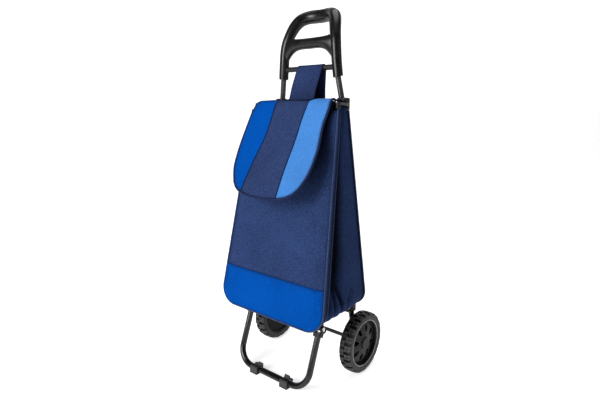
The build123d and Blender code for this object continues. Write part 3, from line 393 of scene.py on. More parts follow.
def wheel_face(side, s):
    """One sector per opening: rings of points from the lens out to the edge of its sector, on a cone."""
    half_turn = math.pi / LENSES
    steps, rings = 48, 5
    bm = bmesh.new()
    for k in range(LENSES):
        grid = []
        for j in range(steps):
            a = 2 * math.pi * j / steps
            c, d = math.cos(a), math.sin(a)
            lens = (LENS_AT + LENS_L / 2 * c, LENS_W / 2 * d * abs(d) / LENS_AT)
            q = max(abs(c), abs(d))
            edge_r = LENS_AT + (FACE_OUT - LENS_AT if c > 0 else LENS_AT - FACE_IN) * c / q
            edge = (edge_r, half_turn * d / q)
            grid.append([
                [near + (far - near) * i / rings for near, far in zip(lens, edge)] for i in range(rings + 1)])
        verts = []
        for column in grid:
            made = []
            for r, turn in column:
                rise = (FACE_OUT - r) / (FACE_OUT - FACE_IN)
                out = FACE_LOW + (FACE_TOP - FACE_LOW) * rise ** 0.9
                made.append(bm.verts.new(wheel_point(s, r, turn + 2 * half_turn * k + LENS_TURN, out)))
            verts.append(made)
        for j in range(steps):
            n = (j + 1) % steps
            for i in range(rings):
                bm.faces.new((verts[j][i], verts[j][i + 1], verts[n][i + 1], verts[n][i]))
    bmesh.ops.remove_doubles(bm, verts=bm.verts, dist=1e-5)
    bmesh.ops.recalc_face_normals(bm, faces=bm.faces)
    if sum(f.normal.x for f in bm.faces) * s < 0:
        bmesh.ops.reverse_faces(bm, faces=bm.faces)
    bmesh.ops.solidify(bm, geom=list(bm.faces), thickness=FACE_THICK * MM)
    mesh = bpy.data.meshes.new(f"wheel_face_{side}")
    bm.to_mesh(mesh)
    bm.free()
    mesh.materials.append(DISC)
    made = bpy.data.objects.new(mesh.name, mesh)
    bpy.context.scene.collection.objects.link(made)
    return made


for side, s in SIDES:
    face = wheel_face(side, s)
    around = np.linspace(0, 2 * math.pi, 73)[:-1]
    path = np.array([wheel_point(s, HIGHLIGHT_RING_R, a, HIGHLIGHT_RING_OUT) for a in around]) / MM
    sideways = np.tile([1.0, 0.0, 0.0], (len(path), 1))
    # painted highlight: a light ring round the rim
    highlight_ring = sweep_mesh(f"wheel_highlight_ring_{side}", path, sideways, oval(1.6, 1.4, 8), RIM_HIGHLIGHT, closed=True)
    for piece in (face, highlight_ring):
        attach(piece, f"wheel_{side}")


# ---------------------------------------------------------------- bag outline, as in the part's source
# half widths of the front and back at a height, and how far these lie ahead of the axle
def front_half(z):
    return 177.5 - 0.067 * z


def front_ahead(z):
    return 232.2 - 0.174 * z


def back_half(z):
    return 187.5 - 0.103 * z


def upright_ahead(z):
    return UPRIGHT_AHEAD * (z - WHEEL_R) / UPRIGHT_RISE


def back_ahead(z):
    return upright_ahead(z) + 10.8


def to_xyz(x, ahead, z):
    """Points in the part's frame from sideways, ahead of the axle and up."""
    parts = np.asarray(x, float), AXLE_Y - np.asarray(ahead, float), np.asarray(z, float)
    return np.stack(np.broadcast_arrays(*parts), -1)


BAG_TOP, HEM_Z, FLOOR_FRONT, FLOOR_BACK, CORNER = 675.0, 176.0, 184.0, 191.5, 44.0
BAG_T, BAND_T, BACK_T, SLEEVE_T, STRAP_T, LOOP_T = 1.6, 1.1, 1.9, 1.1, 1.7, 1.3      # thickness of the cloths


def corner_cut(z, low):
    """How far a rounded lower corner draws the edge in at height z."""
    h = np.clip(np.asarray(z, float) - low, 0, CORNER)
    return CORNER - np.sqrt(np.maximum(CORNER ** 2 - (CORNER - h) ** 2, 0))


def heights(low, corner_rows, top, straight_rows, hem=0.0):
    """Heights of a panel's rows, close together round its lower corners."""
    bend = low + hem + (CORNER - hem) * (1 - np.cos(np.linspace(0, math.pi / 2, corner_rows)))
    return np.concatenate([bend, np.linspace(low + CORNER, top, straight_rows)[1:]])


# Front panel: a crowned sheet up to the sleeve on the mouth hoop
PANEL_U = np.linspace(-1, 1, 61)
U, Z = np.meshgrid(PANEL_U, heights(HEM_Z, 14, BAG_TOP, 52))
X = U * (front_half(Z) - corner_cut(Z, HEM_Z))


def front_bulge(x, z):
    """Outward crown of the front cloth in millimetres, easing to nothing at its sewn edges."""
    side = 1 - np.abs(x) / (front_half(z) + 0.5)
    edge = smooth(0.0, 0.16, side)
    foot = smooth(HEM_Z, HEM_Z + 46, z)
    full = 4.2 * edge * foot * (0.55 + 0.45 * smooth(640, 330, z))
    welt = -1.5 * np.exp(-((side - 0.085) / 0.03) ** 2) * foot
    wave = 1.1 * ripple(np.stack([x * 0.8, z * 0.45, 0 * z], -1), 0.012, (3.1, 7.7, 1.3)) * edge * foot
    return full + welt + wave


front = to_xyz(X, front_ahead(Z) + front_bulge(X, Z), Z)
bag_front = sheet_mesh("bag_front", front, BAG_T, NAVY, INSIDE)

# Bottom band: a second cloth over the foot of the front, its upper edge turned under
BAND_TOP = 275.0
U, Z = np.meshgrid(PANEL_U, heights(HEM_Z, 12, BAND_TOP, 14, hem=1.2))
X = U * (front_half(Z) - corner_cut(Z, HEM_Z) - 0.6)
swell = 1.5 + 0.9 * smooth(BAND_TOP - 9, BAND_TOP - 2, Z) - 1.2 * smooth(BAND_TOP - 2.5, BAND_TOP, Z)
band = to_xyz(X, front_ahead(Z) + front_bulge(X, Z) + swell, Z)
bag_band = sheet_mesh("bag_band", band, BAND_T, ROYAL)

# Gusset: one strip of cloth down one side, under the bag and up the other, with a deep crease in each side
FRONT_IN = 2.54      # its front edge lies this far behind the front panel
TAPE_BACK = 15.0     # and the seam tape this far behind that edge
FLOOR_ROWS, CORNER_ROWS, SIDE_ROWS = 13, 15, 58
# depth stations from the front edge, 0, to the back edge, 1, closer together up to and over the crease
T = np.concatenate([np.linspace(0, 0.14, 9), np.linspace(0.14, 0.62, 25)[1:], np.linspace(0.62, 1.0, 12)[1:]])


def depth_of(z):
    return front_ahead(z) - FRONT_IN - back_ahead(z)


def gusset_ahead(t, z):
    return front_ahead(z) - FRONT_IN - depth_of(z) * t


def valley(t, z, a, b, deep, wide):
    """A fold from a to b, each (share of the depth, height), as an inward dip in millimetres."""
    ax, ay = a[0] * depth_of(a[1]), a[1]
    bx, by = b[0] * depth_of(b[1]), b[1]
    px, py = t * depth_of(z), z
    dx, dy = bx - ax, by - ay
    n = math.hypot(dx, dy)
    k = ((px - ax) * dx + (py - ay) * dy) / (n * n)
    off = np.abs((px - ax) * dy - (py - ay) * dx) / n
    ends = smooth(-0.12, 0.25, k) * smooth(1.15, 0.8, k)
    return deep * np.exp(-(off / wide) ** 2) * ends


def crease_in(t, z):
    """The deep lengthwise fold behind the seam tape, in millimetres inside the straight side."""
    reach = depth_of(z)
    back = t * reach
    rim = TAPE_BACK + 1.5
    centre = rim + 9.0 + 4.0 * smooth(600, 430, z) + 16.0 * smooth(305, 244, z) + 18.0 * smooth(244, 200, z)
    fore = np.clip((back - rim) / (centre - rim), 0, 1) ** 0.85
    aft = np.clip((reach - back) / (reach - centre), 0, 1) ** 2.0
    fold = np.where(back < centre, fore, aft)
    fold = fold - 0.06 * np.exp(-((back - centre) / 4.0) ** 2)
    return (32.0 - 4.0 * smooth(430, 675, z)) * smooth(178, 345, z) * fold


def gusset_in(t, z, s):
    """How far the side cloth lies inside the straight line between its sewn edges."""
    reach = depth_of(z)
    crease = crease_in(t, z)
    welt = 0.9 * np.exp(-(((t * reach) - TAPE_BACK / 2) / 3.2) ** 2) * smooth(196, 232, z)
    puff = -5.0 * smooth(196, 226, z) * smooth(390, 235, z) * np.sin(np.pi * np.clip(t, 0, 1)) ** 1.4
    if s < 0:
        puff = puff * 1.5
    q = np.stack(np.broadcast_arrays(t * 160.0, np.zeros_like(z), z * 0.55), -1)
    wave = 1.5 * ripple(q, 0.021, (1.7 + s, 4.2, 9.1)) * np.sin(np.pi * np.clip(t, 0, 1))
    return crease + welt + pleats(t, z) + puff + wave


def pleats(t, z):
    """Tucks that fan out from the foot of the crease."""
    return (
        valley(t, z, (0.16, 318), (0.15, 194), 6.5, 4.2)
        + valley(t, z, (0.2, 318), (0.31, 194), 7.0, 4.6)
        + valley(t, z, (0.23, 320), (0.5, 192), 9.0, 7.0)
        + valley(t, z, (0.68, 256), (0.54, 214), 6.0, 4.6)
        - valley(t, z, (0.18, 300), (0.23, 196), 4.6, 4.4)
        - valley(t, z, (0.23, 296), (0.4, 196), 5.0, 5.5)
        - valley(t, z, (0.5, 300), (0.64, 200), 2.6, 16.0))


def gusset_side(s):
    """Rows of points from the top of one side down to the middle of the floor, and the painted shade at each point,
    in the crease and the pleats.
    """
    rows_out, dark = [], []
    low = FLOOR_FRONT + (FLOOR_BACK - FLOOR_FRONT) * T
    rim = BAG_TOP + 1.8 + 8.4 * smooth(15.0, 23.0, T * depth_of(BAG_TOP))
    for h in np.linspace(0, 1, SIDE_ROWS):
        z = rim + (low + CORNER - rim) * h
        line = front_half(z) * (1 - T) + back_half(z) * T
        x = line - gusset_in(T, z, s)
        # painted shade: darkest deep in the crease and in the pleats' valleys
        dark.append(np.maximum(0.95 * smooth(7.0, 19.0, crease_in(T, z)), 0.75 * smooth(1.5, 6.5, pleats(T, z))))
        rows_out.append(to_xyz(s * x, gusset_ahead(T, z), z))
    edge = np.sin(np.pi * T) ** 0.6
    for a in np.linspace(0, math.pi / 2, CORNER_ROWS)[1:]:
        z = low + CORNER * (1 - math.sin(a))
        line = front_half(z) * (1 - T) + back_half(z) * T - CORNER * (1 - math.cos(a))
        x = line - gusset_in(T, z, s) * math.cos(a) ** 0.5
        sag = 5.5 * edge * math.sin(2 * a) ** 1.5
        x = x + sag * math.cos(a)
        dark.append(0.75 * smooth(1.5, 6.5, pleats(T, z)) * math.cos(a))
        z = z - sag * math.sin(a)
        rows_out.append(to_xyz(s * x, gusset_ahead(T, z), z))
    start = np.abs(rows_out[-1][:, 0])
    for k in np.linspace(0, 1, FLOOR_ROWS)[1:]:
        z = low + 0.6 * math.sin(math.pi * k)
        dark.append(0 * T)
        rows_out.append(to_xyz(s * start * (1 - k), gusset_ahead(T, z), z))
    return rows_out, dark


right, right_painted_shade = gusset_side(1)
left, left_painted_shade = gusset_side(-1)
strip = np.array(right + left[::-1][1:])
strip_painted_shade = np.array(right_painted_shade + left_painted_shade[::-1][1:])
bag_gusset = sheet_mesh("bag_gusset", strip, BAG_T, NAVY, INSIDE, flip=True, shade=strip_painted_shade)

# Back panel, drawn up to the flap's seam between the joint blocks
BACK_LOW, SEAM_Z, TAB = 190.0, 698.4, 82.8
rows = heights(BACK_LOW, 12, BAG_TOP, 42)
half = back_half(rows) - corner_cut(rows, BACK_LOW)
rows = np.concatenate([rows, [BAG_TOP + 0.8], np.linspace(BAG_TOP + 2, SEAM_Z, 6)])
half = np.concatenate([half, [TAB + 0.6], np.full(6, TAB)])
U, Z = np.meshgrid(PANEL_U, rows)
X = U * half[:, None]
slack = 1 - np.abs(X) / np.maximum(back_half(Z), 1)
dip = 3.4 * smooth(0.05, 0.45, slack) * smooth(196, 250, Z) * smooth(676, 600, Z)
loose = smooth(0.02, 0.2, slack) * smooth(196, 240, Z) * smooth(676, 640, Z)
dip = dip + 0.9 * ripple(np.stack([X, 0 * X, Z * 0.5], -1), 0.015, (8.3, 2.2, 5.9)) * loose
back = to_xyz(X, back_ahead(Z) - 2.4 + np.maximum(dip, 0), Z)
bag_back = sheet_mesh("bag_back", back, BACK_T, NAVY, INSIDE, flip=True)


# Piping along the sewn edges of the front and back
def edge_path(half_of, ahead_of, low, out, z_top):
    """Right edge from the top, round the lower corner, to the middle; the left half mirrors it."""
    pts = []
    for z in np.linspace(z_top, low + CORNER, 60):
        pts.append((half_of(z) + out, z))
    c = half_of(low + CORNER) - CORNER
    for a in np.linspace(0, math.pi / 2, 22)[1:]:
        z = low + CORNER - (CORNER + out) * math.sin(a)
        shift = half_of(z) - half_of(low + CORNER)
        pts.append((c + shift * (1 - math.sin(a)) + (CORNER + out) * math.cos(a), z))
    pts.append((0.0, low - out))
    line = np.array(pts)
    line = np.concatenate([line, (line * (-1, 1))[::-1][1:]])
    line = spaced(line, 5.0)
    return to_xyz(line[:, 0], ahead_of(line[:, 1]), line[:, 1])


def piping(name, path, radius, material):
    """A round cord along a path."""
    toward = np.tile([0.0, -1.0, 0.0], (len(path), 1))
    return sweep_mesh(name, path, toward, oval(radius, radius), material)


def seam_line(grid, at):
    """The line on a cloth at a set distance from its first edge."""
    return spaced([along(row, run_of(row), at) for row in grid], 5.0)


FRONT_CORD_TOP, BACK_CORD_TOP = BAG_TOP + 1.8, BAG_TOP + 1.7
CORD_R, GROOVE_SHADE_R, TAPE_R = 2.3, 1.3, 1.9
front_edge = edge_path(front_half, lambda z: front_ahead(z) - 0.2, HEM_Z, 1.9, FRONT_CORD_TOP)
# painted shade: a near-black cord laid in the groove between the piping cord and the seam tape
groove_shade_edge = edge_path(front_half, lambda z: front_ahead(z) - 3.6, HEM_Z, 0.5, FRONT_CORD_TOP)
back_edge = edge_path(back_half, lambda z: back_ahead(z) - 0.4, BACK_LOW, 2.0, BACK_CORD_TOP)
front_cord = piping("front_piping_cord", front_edge, CORD_R, PIPING)
groove_shade_cord = piping("front_groove_painted_shade", groove_shade_edge, GROOVE_SHADE_R, SEAM_AND_GROOVE_SHADE)
front_tape = piping("front_seam_tape", seam_line(strip, TAPE_BACK), TAPE_R, PIPING)
back_cord = piping("back_piping_cord", back_edge, CORD_R, PIPING)

# ---------------------------------------------------------------- flap
# Side view of its underside as (ahead, up): flat from the hinge to the hoop, a bend, then the hanging part
HINGE, EDGE = np.array([51.5, 699.0]), np.array([115.0, 694.4])
# steps ahead for each one down, radius of the bend, height of the outer face, thickness of the cloth
SLOPE, BEND, FLAP_T, CLOTH_T = 0.497, 13.0, 3.0, 2.2
top_way = (EDGE - HINGE) / np.linalg.norm(EDGE - HINGE)
fall_way = np.array([SLOPE, -1.0]) / math.hypot(SLOPE, 1.0)
bend_turn = math.acos(float(top_way @ fall_way))
bend_cut = BEND * math.tan(bend_turn / 2)
S1 = float(np.linalg.norm(EDGE - HINGE)) - bend_cut      # distances from the hinge where the bend begins and ends
S2 = S1 + BEND * bend_turn
fall_start = EDGE + fall_way * bend_cut
top_out = np.array([-top_way[1], top_way[0]])
bend_mid = HINGE + top_way * S1 - top_out * BEND


def flap_line(s):
    """Underside point and outward direction, both (ahead, up), at the distance s from the hinge."""
    s = np.asarray(s, float)[..., None]
    ang = np.clip((s - S1) / BEND, 0, bend_turn)
    out = top_out * np.cos(ang) + top_way * np.sin(ang)
    hanging = fall_start + fall_way * (s - S2)
    p = np.where(s < S1, HINGE + top_way * s, np.where(s < S2, bend_mid + out * BEND, hanging))
    return p, out


def s_of(z):
    """Distance from the hinge at which the hanging part is at the height z."""
    return float(S2 + (fall_start[1] - z) / -fall_way[1])


def flap_xyz(x, s, lift):
    """Points of the flap at x and s, at a height over its underside."""
    p, out = flap_line(s)
    q = p + out * np.asarray(lift, float)[..., None]
    return to_xyz(x, q[..., 0], q[..., 1])


NOTCH_S, NOTCH_X = 9.6, 82.0     # the joint blocks stand in notches this deep, from this half width on
LOW_CORNER = [(117.8, s_of(540)), (111.5, s_of(521)), (101.0, s_of(501))]
# outer edges as (half width, distance from the hinge): the right one is drawn out over the hoop's corner
SIDE_LINES = {
    "left": curve_through([
        (103.0, NOTCH_S), (103.4, 34.0), (103.8, 50.0), (106.4, 58.5), (111.4, 66.0), (115.6, 76.0), (118.4, 90.0),
        (119.9, s_of(650)), (122.0, s_of(600)), (121.4, s_of(575))] + LOW_CORNER),
    "right": curve_through([
        (103.0, NOTCH_S), (105.5, 30.0), (110.5, 44.0), (116.2, 56.0), (119.2, 70.0), (118.8, 86.0), (115.8, 104.0),
        (115.0, 122.0), (116.4, 140.0), (119.4, 160.0), (121.8, 184.0), (121.0, 206.0)] + LOW_CORNER)}
FOOT_LINE = curve_through([
    LOW_CORNER[-1], (88.0, s_of(489.0)), (70.0, s_of(480.5)), (45.0, s_of(475.0)), (20.0, s_of(472.6)),
    (0.0, s_of(472.0))])
# seams between the strips, which run a little askew, as (distance from the middle, distance from the hinge)
SEAM_LINES = {
    "left": curve_through([
        (49.5, 0.0), (49.0, 50.0), (47.2, 84.0), (45.4, 112.0), (44.6, 138.0), (47.0, 165.0), (52.4, 193.0),
        (57.2, 220.0), (61.2, 246.0), (65.2, 272.0), (68.0, 298.0), (69.0, 320.0)]),
    "right": curve_through([
        (50.5, 0.0), (52.0, 50.0), (52.6, 74.0), (50.6, 96.0), (50.2, 120.0), (51.2, 146.0), (50.6, 180.0),
        (49.0, 210.0), (47.6, 238.0), (47.2, 264.0), (47.4, 290.0), (48.4, 320.0)])}


def stripe(s, side):
    """Distance of a seam from the middle at the distance s from the hinge."""
    return np.interp(s, SEAM_LINES[side][:, 1], SEAM_LINES[side][:, 0])


def foot_s(x):
    """Where the flap's lower edge lies at a distance x from the middle."""
    o = np.argsort(FOOT_LINE[:, 0])
    return np.interp(np.abs(x), FOOT_LINE[o, 0], FOOT_LINE[o, 1])


def resample(line, n):
    """The same line with n points."""
    run = run_of(line)
    return along(line, run, np.linspace(0, run[-1], n))


def flap_lift(x, s):
    """Height of the outer face over the underside: a slight crown, slack waves and a raised right corner."""
    x, s = np.asarray(x, float), np.asarray(s, float)
    free = smooth(S1, S2 + 60, s)
    crown = 1.2 * (1 - (x / 123.0) ** 2) * free
    wave = 1.5 * ripple(np.stack([x, s * 0.8, 0 * s], -1), 0.013, (5.5, 1.1, 3.3)) * free
    corner = 4.0 * smooth(46, 74, x) * smooth(28, 54, s) * smooth(112, 72, s)
    return FLAP_T + crown + wave + corner


# middle strip: its lower end depends on its width there, so the two are settled in turns
FLAP_ROWS, STRIP_COLS = 61, 21
DOWN, OVER = np.linspace(0, 1, FLAP_ROWS), np.linspace(0, 1, STRIP_COLS)
U, W = np.meshgrid(np.linspace(-1, 1, 27), DOWN)
S = W * foot_s(U * 58.0)
for _ in range(3):
    X = U * np.where(U < 0, stripe(S, "left"), stripe(S, "right"))
    S = W * foot_s(X[-1])[None, :]
flap_grids = {"middle": flap_xyz(X, S, flap_lift(X, S))}
flap_middle = sheet_mesh("flap_middle_cloth", flap_grids["middle"], CLOTH_T, NAVY_FLAP, INSIDE, flip=True)

# side strips, each filled in between its seam, the top, the outer edge and the lower edge
seam_end = {"left": float(S[-1, 0]), "right": float(S[-1, -1])}


def side_patch(side):
    """Points (half width, distance from the hinge) of one side strip."""
    s_in = DOWN * seam_end[side]
    inner = np.stack([stripe(s_in, side), s_in], -1)
    outer = resample(SIDE_LINES[side], FLAP_ROWS)
    top_x = inner[0, 0] + (outer[0, 0] - inner[0, 0]) * OVER
    top = np.stack([top_x, NOTCH_S * smooth(NOTCH_X - 2.5, NOTCH_X + 2.5, top_x)], -1)
    low_part = FOOT_LINE[FOOT_LINE[:, 0] >= inner[-1, 0]]
    low = resample(np.concatenate([low_part, [inner[-1]]]), STRIP_COLS)[::-1]
    v, u = DOWN[:, None, None], OVER[None, :, None]
    corners = (1 - v) * ((1 - u) * inner[0] + u * outer[0]) + v * ((1 - u) * inner[-1] + u * outer[-1])
    return (1 - u) * inner[:, None] + u * outer[:, None] + (1 - v) * top[None] + v * low[None] - corners


strips = {}
for side, s in SIDES:
    patch = side_patch(side)
    px = s * patch[..., 0]
    flap_grids[side] = flap_xyz(px, patch[..., 1], flap_lift(px, patch[..., 1]))
    dye = ROYAL if s < 0 else SKY
    strips[side] = sheet_mesh(f"flap_{side}_cloth", flap_grids[side], CLOTH_T, dye, INSIDE, flip=s > 0)


def on_flap(x, s, extra):
    """Points that lie extra over the flap's outer face, and the way that it faces there."""
    _, out = flap_line(s)
    return flap_xyz(x, s, flap_lift(x, s) + extra), np.stack([np.zeros(len(s)), -out[:, 0], out[:, 1]], -1)


# bound edge of the flap
half_rim = {side: np.concatenate([SIDE_LINES[side], FOOT_LINE[1:]]) for side in SIDE_LINES}
rim = np.concatenate([half_rim["right"], (half_rim["left"] * (-1, 1))[::-1][1:]])
rim = spaced(rim, 3.0)
p, f = on_flap(rim[:, 0], rim[:, 1], -1.1)
flap_edge = sweep_mesh("flap_edge_binding", p, np.cross(f, np.gradient(p, axis=0)), oval(3.1, 2.3), BINDING)


THREAD_SIDES = 5


def stitches(name, path, face, material, length=3.4, gap=1.9, radius=0.38):
    """A row of thread stitches lying on a cloth along a path."""
    p = np.asarray(path, float)
    run = run_of(p)
    points, faces, uvs = [], [], []
    at = gap
    while at + length < run[-1]:
        base = len(points)
        # four rings, the outer two small and sunk into the cloth: (place along the stitch, size, rise)
        for frac, size, rise in ((0.0, 0.35, -0.3), (0.2, 1.0, 0.4), (0.8, 1.0, 0.4), (1.0, 0.35, -0.3)):
            want = at + frac * length
            c = along(p, run, want)
            f = unit(along(face, run, want))
            side = unit(np.cross(f, along(p, run, want + 0.3) - c))
            for a in range(THREAD_SIDES):
                ang = 2 * math.pi * a / THREAD_SIDES
                points.append(c + size * radius * (side * math.cos(ang) + f * (math.sin(ang) + rise)))
                uvs.append((a, frac * length))
        for r in range(base, base + 3 * THREAD_SIDES, THREAD_SIDES):
            for a in range(THREAD_SIDES):
                b = (a + 1) % THREAD_SIDES
                faces.append((r + a, r + b, r + THREAD_SIDES + b, r + THREAD_SIDES + a))
        faces.append(tuple(base + a for a in reversed(range(THREAD_SIDES))))
        faces.append(tuple(base + 3 * THREAD_SIDES + a for a in range(THREAD_SIDES)))
        at += length + gap
    return finish_mesh(name, points, faces, uvs, [material])


STITCH_IN = 4.6      # the row of stitches lies this far in from the bound edge
tangent = unit(np.gradient(rim, axis=0))
inset = (rim + np.stack([-tangent[:, 1], tangent[:, 0]], -1) * STITCH_IN)[4:-4]
p, f = on_flap(inset[:, 0], inset[:, 1], 0.15)
flap_thread = stitches("flap_edge_stitches", p, f, THREAD)
seams = []
for side, s in SIDES:
    run = np.linspace(1.0, seam_end[side] - 3.0, 90)
    p, f = on_flap(s * stripe(run, side), run, -0.1)
    seams.append(sweep_mesh(f"flap_seam_{side}", p, np.cross(f, np.gradient(p, axis=0)), oval(1.3, 0.7, 8), SEAM_AND_GROOVE_SHADE))


# ---------------------------------------------------------------- sleeve, strap and loops
def arc(centre, radius, angles):
    """Points of a circle at the angles."""
    return [(centre[0] + radius * math.cos(a), centre[1] + radius * math.sin(a)) for a in angles]


# Hem sleeve that holds the front of the bag on the mouth hoop, in side view as (ahead, up)
SLEEVE_X, HOOP, HOOP_OUT = 118.5, (106.0, 690.0), 4.6
line = [(front_ahead(673.0) + 0.9, 673.0), (front_ahead(682.0) + 0.4, 682.0), (110.7, 690.0)]
line += arc(HOOP, HOOP_OUT, np.linspace(0.3, math.pi, 9))
line += [(102.2, 684.0), (104.5, 674.0), (105.8, 662.0)]
line = spaced(curve_through(line, 1.5), 2.0)
across_x = np.linspace(-SLEEVE_X, SLEEVE_X, 41)
AX, LA = np.meshgrid(across_x, line[:, 0])
_, LZ = np.meshgrid(across_x, line[:, 1])
pucker = 0.5 * ripple(np.stack([AX, LA, LZ], -1), 0.05, (2.0, 6.0, 4.0)) * smooth(690, 676, LZ)
sleeve_grid = to_xyz(AX, LA + pucker, LZ)
mouth_sleeve = sheet_mesh("mouth_sleeve", sleeve_grid, SLEEVE_T, NAVY, INSIDE)

# Hanging strap: tail behind the back panel, up over the rod, down to its sewn end on the flap
ROD, ROD_OUT = (49.3, 778.0), 8.9
STRAP_W, STRAP_MID, STRAP_COLS = 78.0, 6.0, 15
line = [(43.7, 640.0), (45.2, 664.0), (46.9, 690.0), (45.0, 712.0), (41.6, 752.0)]
line += arc(ROD, ROD_OUT, np.linspace(math.pi * 1.02, math.radians(24.6), 12))
line += [(67.6, 760.6), (77.8, 735.4), (85.6, 710.2), (88.6, 703.6), (94.0, 701.9), (104.0, 701.3)]
line = spaced(curve_through(line, 1.5), 2.6)
AX, RU = np.meshgrid(np.linspace(-0.5, 0.5, STRAP_COLS), np.linspace(0, 1, len(line)))
SX = STRAP_MID + 5.0 * smooth(0.42, 0.1, RU) + AX * STRAP_W
side_dir = unit(np.gradient(line, axis=0))
normal = np.stack([-side_dir[:, 1], side_dir[:, 0]], -1)
free = smooth(0.56, 0.64, RU) * smooth(0.86, 0.76, RU)
bow = free * (1.6 - 3.0 * AX ** 2) + 0.7 * free * ripple(np.stack([SX, RU * 250, 0 * SX], -1), 0.03, (9.0, 3.0, 1.0))
SA, SZ = (line[:, k, None] - normal[:, k, None] * bow for k in (0, 1))
strap_grid = to_xyz(SX, SA, SZ)
strap = sheet_mesh("carry_strap", strap_grid, STRAP_T, NAVY_FLAP, STRAP_BACK_LIT, flip=True)
strap_rows = []
faces_out = -np.cross(np.gradient(strap_grid, axis=1), np.gradient(strap_grid, axis=0))
for side, col in (("left", 1), ("right", STRAP_COLS - 2)):
    p, f = strap_grid[6:-4, col], faces_out[6:-4, col]
    strap_rows.append(stitches(f"strap_stitches_{side}", p, f, THREAD, 3.6, 2.0, 0.4))

# Webbing loops round the uprights; their line seen along the upright is (ahead, sideways)
LOOP_Z, LOOP_W, LOOP_R = 430.0, 32.0, 9.7
LOOP_TAIL = [(6.9, 22.0), (6.8, 15.0), (6.2, 10.8)]
flat = [(fore, -lat) for fore, lat in LOOP_TAIL]
flat += [(-LOOP_R * math.cos(a), LOOP_R * math.sin(a)) for a in np.linspace(-2.15, 2.15, 21)]
flat = spaced(curve_through(flat + LOOP_TAIL[::-1], 1.2), 1.8)
tall = np.linspace(-LOOP_W / 2, LOOP_W / 2, 9)
for side, s in SIDES:
    lean = np.array([-s * UPRIGHT_IN, -UPRIGHT_AHEAD, UPRIGHT_RISE])
    up = unit(lean)
    fore = np.array([0.0, -1.0, 0.0])
    fore = unit(fore - up * (fore @ up))
    lat = np.cross(up, fore)
    foot = np.array([s * UPRIGHT_FOOT_X, AXLE_Y, WHEEL_R])
    at = foot + lean * ((LOOP_Z - WHEEL_R) / UPRIGHT_RISE)
    grid = at + fore * flat[None, :, :1] + lat * flat[None, :, 1:] + up * tall[:, None, None]
    made = sheet_mesh(f"frame_loop_{side}_webbing", grid, LOOP_T, WEBBING)
    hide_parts(f"frame_loop_{side}")
    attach(made, "frame")


# Stitching on the bag
def on_front(x, z, extra):
    """Points that lie extra over the front cloth, and the way that it faces."""
    p = to_xyz(x, front_ahead(z) + front_bulge(x, z) + extra, z)
    return p, np.tile([0.0, -1.0, 0.17], (len(p), 1))


x = np.linspace(-front_half(BAND_TOP) + 5, front_half(BAND_TOP) - 5, 160)
p, f = on_front(x, np.full_like(x, BAND_TOP - 4.5), 2.5)
band_thread = stitches("band_stitches", p, f, THREAD)
z = np.linspace(BAG_TOP - 4, HEM_Z + CORNER, 130)
edge_threads = []
for side, s in SIDES:
    x = s * (front_half(z) - 6.5)
    p, f = on_front(x, z, 0.12 + 2.0 * smooth(BAND_TOP + 1, BAND_TOP - 1, z))
    edge_threads.append(stitches(f"front_edge_stitches_{side}", p, f, THREAD))

# ---------------------------------------------------------------- what the cloth rides on and replaces
FRAME_CLOTHS = (
    (bag_front, "navy_cloth", "front_panel"), (bag_band, "royal_cloth", "bottom_band"),
    (bag_gusset, "navy_cloth", "gusset_left", "gusset_right", "bag_floor"), (bag_back, "navy_cloth", "back_panel"),
    (front_cord, "piping_cloth", "front_piping"), (front_tape, "piping_cloth"), (groove_shade_cord, "piping_cloth"),
    (back_cord, "piping_cloth", "back_piping"), (mouth_sleeve, "navy_cloth"), (band_thread, "piping_cloth"),
    *((thread, "piping_cloth") for thread in edge_threads))
FLAP_CLOTHS = (
    (flap_middle, "navy_cloth", "flap_middle"), (strips["left"], "royal_cloth", "flap_strip_left"),
    (strips["right"], "sky_cloth", "flap_strip_right"), (flap_edge, "piping_cloth", "flap_binding"),
    (flap_thread, "piping_cloth"), *((seam, "piping_cloth") for seam in seams))
for body, pieces in (("frame", FRAME_CLOTHS), ("flap", FLAP_CLOTHS)):
    for piece, slot, *stood in pieces:
        if stood:
            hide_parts(*stood)
        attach(piece, body)
# the strap hangs from the frame and is sewn to the flap
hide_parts("hanging_strap")
for piece in (strap, *strap_rows):
    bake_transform(piece)


# ---------------------------------------------------------------- floor, light and camera (metres)
CAM_AT = (0.7325, -0.9079, 0.6602)
CAM_FOCAL, PHOTO_W = 460.7, 600.0      # in pixels of the photograph
SENSOR_W = 36.0                        # in millimetres
FLOOR_GLOW, AMBIENT = 0.62, 0.1
yaw, pitch, roll = (math.radians(a) for a in (39.12, 10.26, 0.84))

# floor that curves up behind the object, in line with the camera
CURVE_START, CURVE_R, FLOOR_COLS = 2.6, 1.4, 13
deep = [(y, 0.0) for y in np.linspace(-4.0, CURVE_START, 12)]
deep += [
    (CURVE_START + CURVE_R * math.sin(a), CURVE_R * (1 - math.cos(a))) for a in np.linspace(0, math.pi / 2, 16)[1:]]
deep += [(CURVE_START + CURVE_R, CURVE_R + 0.5 * k) for k in range(1, 7)]
turned = [
    (x * math.cos(yaw) - y * math.sin(yaw), x * math.sin(yaw) + y * math.cos(yaw), z)
    for x in np.linspace(-6, 6, FLOOR_COLS) for y, z in deep]
n = len(deep)
tiles = [
    (i * n + j, (i + 1) * n + j, (i + 1) * n + j + 1, i * n + j + 1)
    for i in range(FLOOR_COLS - 1) for j in range(n - 1)]
floor_mesh = bpy.data.meshes.new("studio_floor")
floor_mesh.from_pydata(turned, [], tiles)
floor_mesh.polygons.foreach_set("use_smooth", [True] * len(floor_mesh.polygons))
floor = bpy.data.objects.new("studio_floor", floor_mesh)
bpy.context.scene.collection.objects.link(floor)
PALE = hard("pale_floor", (0.86, 0.86, 0.86), (0.9, 0.9, 0.9), 0.6, scale=3.0, bump=0.02)
glow = PALE.node_tree.nodes["Principled BSDF"]
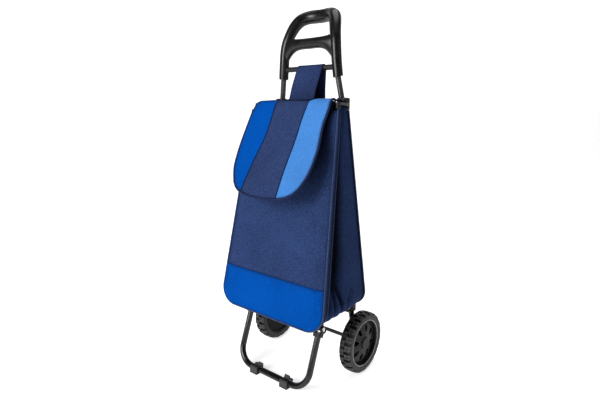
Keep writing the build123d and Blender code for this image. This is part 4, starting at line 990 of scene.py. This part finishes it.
glow.inputs["Emission Color"].default_value = (1.0, 1.0, 1.0, 1)
glow.inputs["Emission Strength"].default_value = FLOOR_GLOW
floor_mesh.materials.append(PALE)

world = bpy.data.worlds.new("studio")
bpy.context.scene.world = world
world.use_nodes = True
studio = world.node_tree
dim = studio.nodes["Background"]
dim.inputs["Color"].default_value = (1.0, 1.0, 1.0, 1)
dim.inputs["Strength"].default_value = AMBIENT
# beyond the floor the studio is as pale as the floor itself, without adding to the light
backdrop = add_node(studio, "ShaderNodeBackground", Color=(1.0, 1.0, 1.0, 1))
either = add_node(studio, "ShaderNodeMixShader")
seen = add_node(studio, "ShaderNodeLightPath").outputs["Is Camera Ray"]
for socket, source in zip(either.inputs, (seen, dim.outputs[0], backdrop.outputs[0])):
    studio.links.new(source, socket)
studio.links.new(either.outputs[0], studio.nodes["World Output"].inputs["Surface"])


def softbox(name, at, aim, size, power):
    """A rectangular lamp of the size in metres and the power in watts, turned to the point aim."""
    data = bpy.data.lights.new(name, "AREA")
    data.shape = "RECTANGLE"
    data.size, data.size_y = size
    data.energy = power
    lamp = bpy.data.objects.new(name, data)
    lamp.location = at
    lamp.rotation_mode = "QUATERNION"
    lamp.rotation_quaternion = (Vector(aim) - Vector(at)).to_track_quat("-Z", "Y")
    bpy.context.scene.collection.objects.link(lamp)


softbox("key_left", (-0.42, -2.45, 1.2), (0, 0, 0.45), (1.2, 1.5), 80)
softbox("fill_right", (2.3, 0.9, 1.3), (0, 0, 0.45), (0.9, 1.6), 4.5)
softbox("top", (0.1, 0.2, 2.5), (0, 0, 0.4), (1.6, 1.6), 27)

forward = Vector((-math.sin(yaw) * math.cos(pitch), math.cos(yaw) * math.cos(pitch), -math.sin(pitch)))
level = Vector((math.cos(yaw), math.sin(yaw), 0.0))
upward = level.cross(forward)
cam_right = math.cos(roll) * level + math.sin(roll) * upward
cam_up = -math.sin(roll) * level + math.cos(roll) * upward
cam_data = bpy.data.cameras.new("camera")
cam_data.sensor_width = SENSOR_W
cam_data.lens = CAM_FOCAL * SENSOR_W / PHOTO_W
camera = bpy.data.objects.new("camera", cam_data)
turn_to = Matrix((cam_right, cam_up, -forward)).transposed().to_4x4()
camera.matrix_world = Matrix.Translation(CAM_AT) @ turn_to
bpy.context.scene.collection.objects.link(camera)
bpy.context.scene.camera = camera
bpy.context.scene.view_settings.view_transform = "Standard"
